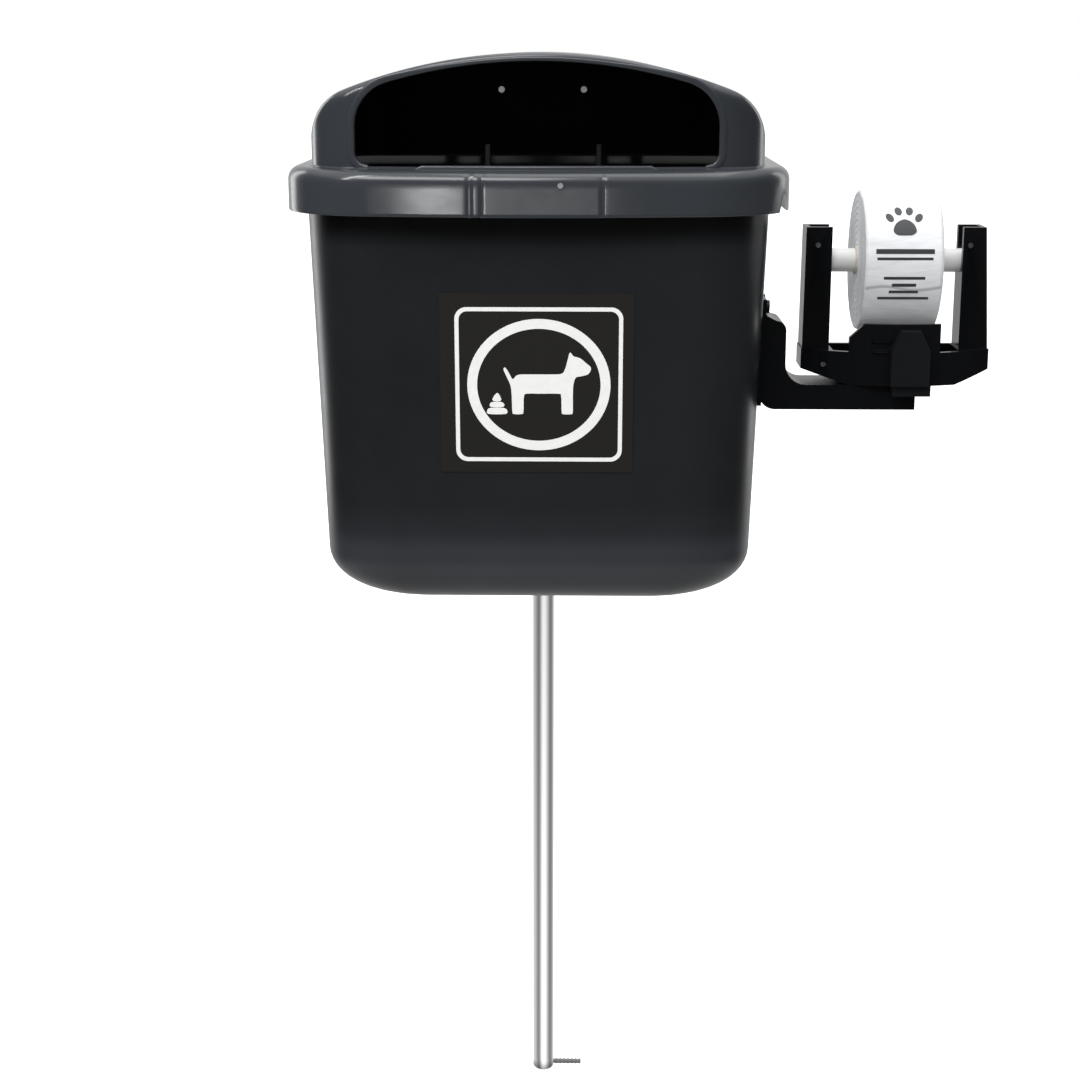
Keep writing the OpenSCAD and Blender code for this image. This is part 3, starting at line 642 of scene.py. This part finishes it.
def lower_rows(x, f_x, wall_y):
    """Rows of an arm or wall column below the split height."""
    points = []
    top = split_z(x)
    for k in range(LOWER_ROWS + 1):
        z = HOOD_BASE + (top - HOOD_BASE) * k / LOWER_ROWS
        column_x = f_x(HOOD_BASE + (split_z(MOUTH_HALF) - HOOD_BASE) * k / LOWER_ROWS)
        points.append(Vector((column_x, wall_y(column_x), z)))
    return points


def rise(x, y, z0, z1, rows):
    return [Vector((x, y, z0 + (z1 - z0) * k / rows)) for k in range(rows + 1)]


def make_hood():
    """Hood shell: arched top over an outline with rounded corners, with the mouth left open in front."""
    verts, faces = [], []
    columns = hood_columns()
    top_steps = 16

    def upper_part(x):
        y, z = hood_front_y(x), hood_top_z(x)
        edge = crease(x, y, z, 1, split_z(x) if abs(x) >= MOUTH_HALF - 0.01 else mouth_z(x))
        start = split_z(x) if abs(x) >= MOUTH_HALF - 0.01 else mouth_z(x)
        return rise(x, y, start, edge[0].z, UPPER_ROWS)[:-1] + edge

    def top_part(x):
        r = edge_size(x)
        y0, y1 = hood_front_y(x) + r, hood_rear_y(x) - r
        return [Vector((x, y0 + (y1 - y0) * k / top_steps, hood_top_z(x))) for k in range(top_steps + 1)]

    def rear_part(x):
        y, z = hood_rear_y(x), hood_top_z(x)
        edge = crease(x, y, z, -1, split_z(x) - 3)
        upper = rise(x, y, split_z(x), edge[0].z, UPPER_ROWS)[:-1] + edge
        lower = lower_rows(x, lambda z_: x, lambda x_: y)
        return lower[:-1] + upper

    def section(x):
        y_top = top_part(x)
        front = upper_part(x)
        front[-1] = y_top[0]
        rear = rear_part(x)
        rear[-1] = y_top[-1]
        return front + y_top[1:-1] + list(reversed(rear))

    grid_faces(verts, faces, [section(x) for x in columns])

    for side in (-1, 1):
        rows = []
        arm = [x for x in columns if side * x >= MOUTH_HALF - 0.01]
        for x in arm:
            f = (abs(x) - MOUTH_HALF) / (HOOD_HALF - MOUTH_HALF)

            def at_z(z, f=f):
                edge = mouth_edge_x(z, MOUTH_BASE)
                return side * (edge + (HOOD_HALF - edge) * f)

            rows.append(lower_rows(x, at_z, hood_front_y))
        grid_faces(verts, faces, rows)
        side_rows = []
        x = side * HOOD_HALF
        y0, y1 = hood_front_y(HOOD_HALF), hood_rear_y(HOOD_HALF)
        heights = [p.z for p in lower_rows(x, lambda z_: x, lambda x_: y0)][:-1]
        heights += [p.z for p in rise(x, y0, split_z(x), hood_top_z(HOOD_HALF), UPPER_ROWS)]
        for k in range(top_steps + 1):
            y = y0 + (y1 - y0) * k / top_steps
            side_rows.append([Vector((x, y, z)) for z in heights])
        grid_faces(verts, faces, side_rows)

    hood = mesh_object("lid_hood", verts, faces, "lid", LID_PLASTIC)
    # The hood's inner side takes the painted shade in place of the lid plastic.
    hood.data.materials.append(INNER_PAINTED_SHADE)
    solidify(hood, LID_WALL).modifiers["wall"].material_offset = 1
    apply_modifiers(hood)
    smooth_by_angle(hood, 40)
    return hood


def mouth_path():
    """Centre line of the mouth's edge, from its lower left corner over the arch to its lower right one."""
    points = []
    spring = mouth_z(MOUTH_HALF)
    steps = 20
    for k in range(steps):
        z = MOUTH_BASE + (spring - MOUTH_BASE) * k / steps
        points.append((-mouth_edge_x(z, MOUTH_BASE), z))
    for x in [c for c in hood_columns() if abs(c) <= MOUTH_HALF + 0.01]:
        points.append((x, mouth_z(x)))
    for x, z in reversed(points[:steps]):
        points.append((-x, z))
    return points


def make_mouth_lip():
    """Raised flange round the mouth, turned a little way into the hood."""
    path = mouth_path()
    profile = [(-0.6, 7.0), (-0.6, 0.6), (0.0, -0.3), (0.8, -0.7), (4.0, -0.7), (4.8, -0.3), (5.2, 0.5),
               (5.2, 7.0)]
    rings = []
    for i, (x, z) in enumerate(path):
        xa, za = path[max(0, i - 1)]
        xb, zb = path[min(len(path) - 1, i + 1)]
        out = Vector((-(zb - za), 0, xb - xa)).normalized()
        ring = []
        narrow = 0.55 + 0.45 * min(1.0, max(0.0, abs(x) - 60) / 60)
        for off, depth in profile:
            p = Vector((x, 0, z)) + out * off * (narrow if off > 0 else 1.0)
            y = hood_front_y(p.x) + depth
            ring.append(Vector((p.x, y, p.z)))
        rings.append(ring)
    verts, faces = loft(rings)
    lip = mesh_object("mouth_lip", verts, faces, "lid", LID_PLASTIC)
    smooth_by_angle(lip, 50)
    return lip


def make_sill():
    """Raised strip on the deck in front of the mouth."""
    half, depth, height = 95.0, 10.0, 3.0
    rings = []
    steps = 40
    for i in range(steps + 1):
        x = -half + 2 * half * i / steps
        y = RIM_FRONT + 13 + x * x / (2 * BOW_R)
        ends = min(1.0, (half - abs(x)) / 3.0)
        h = height * math.sqrt(max(0.02, 1 - (1 - ends) ** 2))
        y1 = RIM_FRONT + 13 + depth
        profile = ((y, -1), (y, h - 1.1), (y + 0.4, h - 0.4), (y + 1.1, h),
                   (y1 - 0.5, h), (y1, h - 0.5), (y1, -1))
        rings.append([Vector((x, yy, DECK_Z + zz)) for yy, zz in profile])
    verts, faces = loft(rings)
    sill = mesh_object("lid_sill", verts, faces, "lid", LID_PLASTIC)
    smooth_by_angle(sill, 50)
    return sill


# ---- tub ----

ROLL_H = 40.0
ROLL_SIDE, ROLL_FRONT, ROLL_REAR = 56.0, 40.0, 16.0
TUB_FRONT_R = 68.0
TUB_REAR_R = 30.0


def tub_ring(z, inset=0.0, roll=0.0):
    """Outline of the tub at a height; roll is 0 on the walls and 1 under the floor."""
    drop = TUB_TOP - z
    side = ROLL_SIDE * roll
    points = outline(
        TUB_HALF - drop * SIDE_SLOPE - inset - side,
        TUB_REAR - inset - ROLL_REAR * roll,
        TUB_FRONT + drop * FRONT_SLOPE + inset + ROLL_FRONT * roll,
        TUB_FRONT_R - inset - drop * 0.03 - side * 0.3,
        TUB_REAR_R - inset - side * 0.2,
        100000.0, corner=18, bow=40)
    return ring_at(points, z)


def tub_rings(inset):
    """Rings from the centre of the floor out, round the rolled edge and up the wall."""
    z0 = TUB_Z + inset
    h = ROLL_H - inset
    floor = tub_ring(z0, inset, 1.0)
    centre = sum(floor, Vector()) / len(floor)
    rings = [[centre + (p - centre) * s for p in floor] for s in (0.02, 0.3, 0.6, 0.85)]
    for k in range(13):
        a = math.radians(90 - 7.5 * k)
        rings.append(tub_ring(z0 + h * (1 - math.sin(a)), inset, 1 - math.cos(a)))
    wall_top = TUB_TOP - 1.5
    for k in range(1, 15):
        rings.append(tub_ring(z0 + h + (wall_top - z0 - h) * k / 14, inset))
    return rings


def make_tub():
    outer = tub_rings(0.0)
    inner = tub_rings(TUB_WALL)
    lip = [tub_ring(TUB_TOP - 0.4, 0.4), tub_ring(TUB_TOP, 1.2), tub_ring(TUB_TOP, TUB_WALL - 1.2),
           tub_ring(TUB_TOP - 0.4, TUB_WALL - 0.4)]
    verts, faces = loft(outer + lip + list(reversed(inner)))
    tub = mesh_object("tub_shell", verts, faces, "post_and_tub", TUB_PLASTIC)
    smooth_by_angle(tub, 40)
    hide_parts("tub")
    return tub


make_tub()
rim = make_rim()
make_hood()
make_mouth_lip()
make_sill()
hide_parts("lid")


# ---- sign on the tub's front ----

SIGN_TILT = math.atan(FRONT_SLOPE)
SIGN_HALF = (SIGN_HIGH.x - SIGN_LOW.x) / 2
SIGN_CENTRE_Z = (SIGN_LOW.z + SIGN_HIGH.z) / 2
SIGN_HEIGHT = (SIGN_HIGH.z - SIGN_LOW.z) / math.cos(SIGN_TILT)
PRINT_T = 0.12
SIGN_FACE_LIFT = 0.62
FRAME_LINE = 3.3
SIGN_RING_W = 8.0


def on_sign(u, v, lift=0.0):
    """Point on the sign's face: u right and v up from its centre, lift out of the face."""
    face = TUB_FRONT + (TUB_TOP - SIGN_CENTRE_Z) * FRONT_SLOPE - SIGN_FACE_LIFT
    y = face - math.cos(SIGN_TILT) * lift - math.sin(SIGN_TILT) * v
    z = SIGN_CENTRE_Z - math.sin(SIGN_TILT) * lift + math.cos(SIGN_TILT) * v
    return Vector((u, y, z))


def rounded_box_path(half_w, half_h, r, steps=8):
    points = arc(half_w - r, half_h - r, r, 0, 90, steps)
    points += arc(-half_w + r, half_h - r, r, 90, 180, steps)
    points += arc(-half_w + r, -half_h + r, r, 180, 270, steps)
    points += arc(half_w - r, -half_h + r, r, 270, 360, steps)
    return points


def print_band(name, outer, inner):
    """Thin closed band between two outlines on the sign."""
    rings = [[on_sign(u, v, h) for u, v in path] for path, h in
             ((outer, 0.0), (outer, PRINT_T), (inner, PRINT_T), (inner, 0.0))]
    verts, faces = loft(rings, close_path=True)
    band = mesh_object(name, verts, faces, "post_and_tub", SIGN_WHITE, smooth=False)
    return band


def print_shape(name, outlines, place, body, material, thickness=PRINT_T, cuts=0):
    """Thin closed plates with the given outlines, set on a surface by place(u, v, lift)."""
    bm = bmesh.new()
    for path in outlines:
        bm.faces.new([bm.verts.new((u, v, 0)) for u, v in path])
    bmesh.ops.triangulate(bm, faces=bm.faces[:], ngon_method="EAR_CLIP")
    if cuts:
        bmesh.ops.subdivide_edges(bm, edges=bm.edges[:], cuts=cuts, use_grid_fill=True)
    bm.verts.index_update()
    flat_verts = [(v.co.x, v.co.y) for v in bm.verts]
    flat_faces = [tuple(v.index for v in f.verts) for f in bm.faces]
    rim_edges = [e for e in bm.edges if e.is_boundary]
    rim_pairs = []
    for edge in rim_edges:
        loop = edge.link_loops[0]
        rim_pairs.append((loop.vert.index, loop.link_loop_next.vert.index))
    bm.free()
    n = len(flat_verts)
    verts = [place(u, v, thickness) for u, v in flat_verts] + [place(u, v, 0.0) for u, v in flat_verts]
    faces = list(flat_faces) + [tuple(n + i for i in reversed(f)) for f in flat_faces]
    faces += [(a, a + n, b + n, b) for a, b in rim_pairs]
    return mesh_object(name, verts, faces, body, material, smooth=False)


def smooth_path(knots, steps=6):
    """Closed Catmull-Rom curve through knots."""
    n = len(knots)
    points = []
    for i in range(n):
        p = [Vector(knots[(i + k - 1) % n]) for k in range(4)]
        for s in range(steps):
            t = s / steps
            a = 2 * p[1] + (p[2] - p[0]) * t
            b = (2 * p[0] - 5 * p[1] + 4 * p[2] - p[3]) * t * t
            c = (3 * p[1] - p[0] - 3 * p[2] + p[3]) * t ** 3
            q = (a + b + c) / 2
            points.append((q.x, q.y))
    return points


SIGN_SHIFT = Vector((1.7, -1.0))


def make_sign():
    """White frame, ring and a plain dog-and-heap sign, all slightly off the square's centre."""

    def shifted(path):
        return [(u + SIGN_SHIFT.x, v + SIGN_SHIFT.y) for u, v in path]

    half, high = SIGN_HALF * 0.866, SIGN_HEIGHT / 2 * 0.862
    print_band("sign_frame", shifted(rounded_box_path(half, high, 9.5)),
               shifted(rounded_box_path(half - FRAME_LINE, high - FRAME_LINE, 6.8)))
    ring_w, ring_h = SIGN_HALF * 0.742, SIGN_HEIGHT / 2 * 0.735
    circle = [(math.cos(math.radians(a)), math.sin(math.radians(a))) for a in range(0, 360, 4)]
    print_band("sign_ring", shifted([(ring_w * c, ring_h * s) for c, s in circle]),
               shifted([((ring_w - SIGN_RING_W) * c, (ring_h - SIGN_RING_W) * s) for c, s in circle]))
    dog = smooth_path([
        (-21, 5), (-17, 8.5), (-6, 9), (8, 9), (18, 9.5), (21, 13), (23, 20), (25, 27), (28, 24), (33, 22.5),
        (38, 18.5), (42, 14.5), (40, 9.5), (34, 7.5), (30, 6.5), (28, 1), (27.5, -8), (27.5, -22), (26, -24),
        (20, -24), (18.5, -22), (18, -9), (15.5, -7), (0, -7), (-9, -7), (-12, -9), (-12.5, -22), (-14, -24),
        (-20, -24), (-21.5, -22), (-22, -8), (-23, 0), (-26, 7), (-28.5, 13), (-27, 14.5), (-24, 10)], 4)
    heap = [
        [(-40.5, -24), (-27.5, -24), (-25.5, -21.5), (-28.5, -19), (-39.5, -19), (-42, -21.5)],
        [(-38.5, -18.2), (-29.5, -18.2), (-28, -16), (-30.5, -14), (-37.8, -14), (-39.8, -16)],
        [(-36.6, -13.2), (-31.6, -13.2), (-30.6, -11.2), (-33.6, -6.4), (-37.4, -11)]]
    outlines = [shifted(path) for path in [dog] + [smooth_path(knots, 4) for knots in heap]]
    art = print_shape("sign_dog", outlines, on_sign, "post_and_tub", SIGN_WHITE)


# ---- bag roll ----

ROLL_CENTRE = (ROLL_LOW + ROLL_HIGH) / 2
ROLL_R = (ROLL_HIGH.z - ROLL_LOW.z) / 2
ROLL_HALF = (ROLL_HIGH.x - ROLL_LOW.x) / 2
CORE_R = 12.1
LAYERS = 46
ROLL_STEPS = 120


def on_roll(u, angle, r):
    """Point on the roll: u along its axis from the middle, angle in degrees up from the front."""
    a = math.radians(angle)
    return Vector((ROLL_CENTRE.x + u, ROLL_CENTRE.y - r * math.cos(a), ROLL_CENTRE.z + r * math.sin(a)))


def make_roll():
    """Wound film: crowned sides with slightly uneven layer edges, and a loose end lying on the front."""
    profile = [(-ROLL_HALF + 0.6, CORE_R)]
    for k in range(LAYERS + 1):
        r = CORE_R + (ROLL_R - 1.6 - CORE_R) * k / LAYERS
        wave = 0.55 * math.sin(k * 2.4) + 0.35 * math.sin(k * 5.1 + 1)
        profile.append((-ROLL_HALF + 0.9 + 0.5 * wave, r))
    profile += [(-ROLL_HALF + 1.0, ROLL_R - 1.0), (-ROLL_HALF + 2.0, ROLL_R - 0.35)]
    profile += [(-ROLL_HALF + 2.0 + (2 * ROLL_HALF - 4.0) * k / 24, ROLL_R - 0.35) for k in range(1, 24)]
    profile += [(-x, r) for x, r in reversed(profile[:LAYERS + 4])]
    rings = []
    for i in range(ROLL_STEPS):
        angle = 360 * i / ROLL_STEPS
        ring = []
        for u, r in profile:
            soft = 0.0
            if r > ROLL_R - 3:
                soft = 0.28 * math.sin(angle * 0.21 + u * 0.16) * math.sin(u * 0.09 + angle * 0.05)
            ring.append(on_roll(u, angle, r - abs(soft)))
        rings.append(ring)
    verts, faces = loft(rings, cap_ends=False, close_path=True)
    roll = mesh_object("bag_roll_film", verts, faces, "roll", FILM)
    smooth_by_angle(roll, 60)
    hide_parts("bag_roll")
    make_loose_end()
    make_roll_print()


def make_loose_end():
    """The outermost turn of film, ending in a slightly lifted edge on the front."""
    rows = []
    steps = 40
    for i in range(steps + 1):
        t = i / steps
        angle = -18 + 120 * t
        row = []
        for k in range(25):
            f = k / 24
            u = (-ROLL_HALF + 1.6) + (2 * ROLL_HALF - 3.2) * f
            lift = 0.05 + 0.20 * (1 - t) ** 6 * (0.6 + 0.4 * math.sin(f * 9 + 1))
            wave = 1.6 * math.sin(f * 7.0) * (1 - t) ** 4
            row.append(on_roll(u, angle + wave, ROLL_R - 0.30 + lift))
        rows.append(row)
    verts, faces = [], []
    grid_faces(verts, faces, rows)
    flap = mesh_object("bag_roll_end", verts, faces, "roll", FILM)
    solidify(flap, 0.12, 0)
    apply_modifiers(flap)


PAW_UP = 39.0


def make_roll_print():
    """Plain print on the film: a paw made of five pads, and bars in place of lettering."""

    def place(u, v, lift):
        return on_roll(u, math.degrees(v / ROLL_R), ROLL_R - 0.05 + lift)

    def blob(cu, cv, ru, rv, turn=0.0):
        a0 = math.radians(turn)
        path = []
        for a in range(0, 360, 15):
            c, s = ru * math.cos(math.radians(a)), rv * math.sin(math.radians(a))
            path.append((cu + c * math.cos(a0) - s * math.sin(a0), cv + c * math.sin(a0) + s * math.cos(a0)))
        return path

    def bar(cu, cv, half, height):
        n = 8
        top = [(cu + half - 2 * half * i / n, cv + height / 2) for i in range(n + 1)]
        low = [(cu - half + 2 * half * i / n, cv - height / 2) for i in range(n + 1)]
        return low + top

    pad = smooth_path([(9.5, -9), (7, -1.5), (0, 2.5), (-7, -1.5), (-9.5, -9), (-5, -12.5), (0, -11),
                       (5, -12.5)], 4)
    outlines = [[(u, v + PAW_UP) for u, v in pad]]
    for cu, cv, turn in ((-12, 4, 25), (-4.6, 11, 8), (4.6, 11, -8), (12, 4, -25)):
        outlines.append(blob(cu, PAW_UP + cv, 3.0, 4.6, turn))
    bars = ((13, 24, 4.0), (7, 23, 2.2), (-9, 17, 2.4), (-15, 10, 2.8), (-21, 12, 2.4), (-27, 21, 2.4))
    for cv, half, height in bars:
        outlines.append(bar(0, cv, half, height))
    art = print_shape("roll_print", outlines, place, "roll", PRINT_GREY, 0.05, cuts=3)


# ---- cradle ----

CRADLE_FRONT = CRADLE_LOW.y
CRADLE_MID = 303.5
CRADLE_R = 130.0
RIBS = ((279.0, 300.0, 790.5, 795.5), (279.0, 296.0, 782.0, 785.0))


def make_cradle_ribs():
    """Two small moulded ribs on the cradle's plate, to the left of the clip."""
    for index, (x0, x1, z0, z1) in enumerate(RIBS):
        rings = []
        steps = 12
        for i in range(steps + 1):
            x = x0 + (x1 - x0) * i / steps
            y = CRADLE_FRONT + CRADLE_R - math.sqrt(CRADLE_R ** 2 - (x - CRADLE_MID) ** 2)
            out = 2.0 * min(1.0, min(i, steps - i) / 1.5 + 0.3)
            mid = (z0 + z1) / 2
            section = ((1, z0), (-out * 0.8, z0 + 0.4), (-out, mid), (-out * 0.8, z1 - 0.4), (1, z1))
            rings.append([Vector((x, y + dy, z)) for dy, z in section])
        verts, faces = loft(rings)
        rib = mesh_object("cradle_rib_%d" % index, verts, faces, "post_and_tub", BLACK_PLASTIC)
        smooth_by_angle(rib, 50)


make_sign()
make_roll()
make_cradle_ribs()


# ---- carried-over CAD pieces ----

FINISHES = {
    "polished_steel": POLISHED_PAINTED_REFLECTION, "zinc_steel": ZINC, "black_steel": BLACK_STEEL,
    "black_plastic": BLACK_PLASTIC,
    "white_plastic": WHITE_PLASTIC, "cardboard": BOARD, "sign_vinyl": VINYL, "tub_plastic": TUB_PLASTIC,
    "lid_plastic": LID_PLASTIC, "bag_film": FILM,
}
EDGE_WIDTHS = {
    "dispenser_arm": 3.2, "roll_cradle": 1.6, "cradle_clip": 2.0, "pole_bracket": 1.5, "hinge_brackets": 1.0,
    "lid_hinge_leaves": 1.0, "bag_fin_strip": 0.5, "hood_pad": 0.8, "pole_top_cap": 1.2,
    "clamp_cap_upper": 1.2,
    "clamp_cap_lower": 1.2, "front_sticker": 0.15, "spindle_tube": 0.6,
}
SMALL_EDGE = 0.35


def dress_cad_nodes():
    """Gives every CAD node its finish and rounded edges."""
    for part in frame["record"]["subparts"]:
        node = frame["nodes"][part["node"]]
        if node.hide_render:
            continue
        material = FINISHES[part["material_slot"]]
        node.data.materials.clear()
        node.data.materials.append(material)
        bevel(node, EDGE_WIDTHS.get(part["node"], SMALL_EDGE), 3, 32)
        for polygon in node.data.polygons:
            polygon.use_smooth = True
        shade = node.modifiers.new("shade", "WEIGHTED_NORMAL")
        shade.keep_sharp = True


dress_cad_nodes()
# The pad and fin strip inside the hood take the same painted shade.
for dark in ("hood_pad", "bag_fin_strip"):
    frame["nodes"][dark].data.materials[0] = INNER_PAINTED_SHADE
# The clip takes the lighter plastic with the painted highlight.
frame["nodes"]["cradle_clip"].data.materials[0] = CLIP_PAINTED_HIGHLIGHT
frame["nodes"]["anchor_bar"].data.materials[0] = RAW_STEEL


# ---- stage, light and camera ----

CAMERA_X, CAMERA_Y, CAMERA_Z = 36.0, -1868.0, 1031.0
CAMERA_YAW, CAMERA_PITCH = 1.21, 14.0
CAMERA_LENS = 65.9


def make_stage():
    """Plain white floor. The object doesn't mirror it: the surroundings below the horizon stand in for it."""
    size = 30.0
    mesh = bpy.data.meshes.new("floor")
    corners = [(-size, -size, 0), (size, -size, 0), (size, size, 0), (-size, size, 0)]
    mesh.from_pydata(corners, [], [(0, 1, 2, 3)])
    floor = bpy.data.objects.new("floor", mesh)
    bpy.context.scene.collection.objects.link(floor)
    n = Nodes("floor").use_object_coords()
    pale = n.ramp(n.noise(3.0, 2.0), (0.93, 0.93, 0.93, 1), (0.96, 0.96, 0.96, 1))
    n.link(pale, n.shader.inputs["Base Color"])
    n.set(Roughness=0.9, Emission_Color=(1, 1, 1, 1), Emission_Strength=0.75)
    mesh.materials.append(n.material)
    floor.visible_glossy = False
    floor.visible_diffuse = False


FRONT_DARK = 0.025
BACK_LIGHT, TOP_LIGHT, GROUND_LIGHT = 0.7, 1.2, 0.6
SHADE_LOW, SHADE_HIGH = 0.32, 0.88


def make_world():
    """White backdrop. Reflections are dark in front and to the sides, and pale behind, above and below."""
    world = bpy.data.worlds.new("studio")
    bpy.context.scene.world = world
    world.use_nodes = True
    tree = world.node_tree
    back = tree.nodes["Background"]
    back.inputs["Color"].default_value = (1.0, 1.0, 1.0, 1)
    coord = tree.nodes.new("ShaderNodeTexCoord")
    split = tree.nodes.new("ShaderNodeSeparateXYZ")
    tree.links.new(coord.outputs["Generated"], split.inputs[0])
    path = tree.nodes.new("ShaderNodeLightPath")

    def span(axis, start, end, low, high):
        node = tree.nodes.new("ShaderNodeMapRange")
        node.interpolation_type = "SMOOTHSTEP"
        for key, value in (("From Min", start), ("From Max", end), ("To Min", low), ("To Max", high)):
            node.inputs[key].default_value = value
        tree.links.new(split.outputs[axis], node.inputs["Value"])
        return node.outputs["Result"]

    def combine(operation, a, b):
        node = tree.nodes.new("ShaderNodeMath")
        node.operation = operation
        tree.links.new(a, node.inputs[0])
        tree.links.new(b, node.inputs[1])
        return node.outputs[0]

    def choose(switch, off, on):
        node = tree.nodes.new("ShaderNodeMix")
        tree.links.new(path.outputs[switch], node.inputs["Factor"])
        tree.links.new(off, node.inputs[2])
        tree.links.new(on, node.inputs[3])
        return node.outputs[0]

    behind = span("Y", 0.30, 0.80, FRONT_DARK, BACK_LIGHT)
    above = span("Z", 0.40, 0.80, FRONT_DARK, TOP_LIGHT)
    ground = span("Z", -0.40, -0.62, FRONT_DARK, GROUND_LIGHT)
    mirrored = combine("MAXIMUM", combine("MAXIMUM", behind, above), ground)
    shading = span("Z", -0.4, 0.7, SHADE_LOW, SHADE_HIGH)
    white = tree.nodes.new("ShaderNodeValue")
    white.outputs[0].default_value = 1.0
    level = choose("Is Diffuse Ray", mirrored, shading)
    level = choose("Is Camera Ray", level, white.outputs[0])
    tree.links.new(level, back.inputs["Strength"])


def area_light(name, place, target, size, power, only=None):
    """Soft rectangular light. With a list of objects it lights those alone."""
    data = bpy.data.lights.new(name, "AREA")
    data.shape = "RECTANGLE"
    data.size, data.size_y = size
    data.energy = power
    light = bpy.data.objects.new(name, data)
    bpy.context.scene.collection.objects.link(light)
    light.location = place
    light.rotation_euler = (Vector(target) - Vector(place)).to_track_quat("-Z", "Y").to_euler()
    light.visible_camera = False
    if only:
        receivers = bpy.data.collections.new(name + "_receivers")
        for obj in only:
            receivers.objects.link(obj)
        light.light_linking.receiver_collection = receivers


def make_camera():
    data = bpy.data.cameras.new("camera")
    data.lens = CAMERA_LENS
    data.sensor_width = 36.0
    camera = bpy.data.objects.new("camera", data)
    bpy.context.scene.collection.objects.link(camera)
    camera.location = Vector((CAMERA_X, CAMERA_Y, CAMERA_Z)) * MM
    camera.rotation_euler = (math.radians(90 - CAMERA_PITCH), 0, math.radians(CAMERA_YAW))
    bpy.context.scene.camera = camera


make_stage()
make_world()
lid_rim = bpy.data.objects["lid_rim"]
small_screws = [frame["nodes"][name] for name in ("rim_screw", "hood_screws")]
area_light("key", (-0.7, -2.0, 3.0), (0, -0.15, 0.85), (1.6, 1.0), 34)
area_light("top", (0.3, -0.1, 2.6), (0, -0.15, 0.9), (1.8, 1.4), 16)
area_light("rim_core", (-0.83, -3.2, 0.67), (-0.08, -0.3, 0.9), (0.42, 0.24), 4.8, [lid_rim])
area_light("rim_wide", (-0.26, -3.3, 0.67), (0.0, -0.3, 0.9), (1.5, 0.24), 3.0, [lid_rim] + small_screws)
area_light("left_edge", (-1.15, 0.75, 1.0), (0, -0.2, 0.85), (0.4, 1.4), 4)
area_light("right_edge", (1.25, 0.75, 1.0), (0.1, -0.2, 0.85), (0.4, 1.4), 2.5)
area_light("spark", (-0.9, -0.9, 2.0), (0.3, -0.2, 0.85), (0.12, 1.0), 8)
make_camera()
bpy.context.scene.view_settings.view_transform = "Standard"
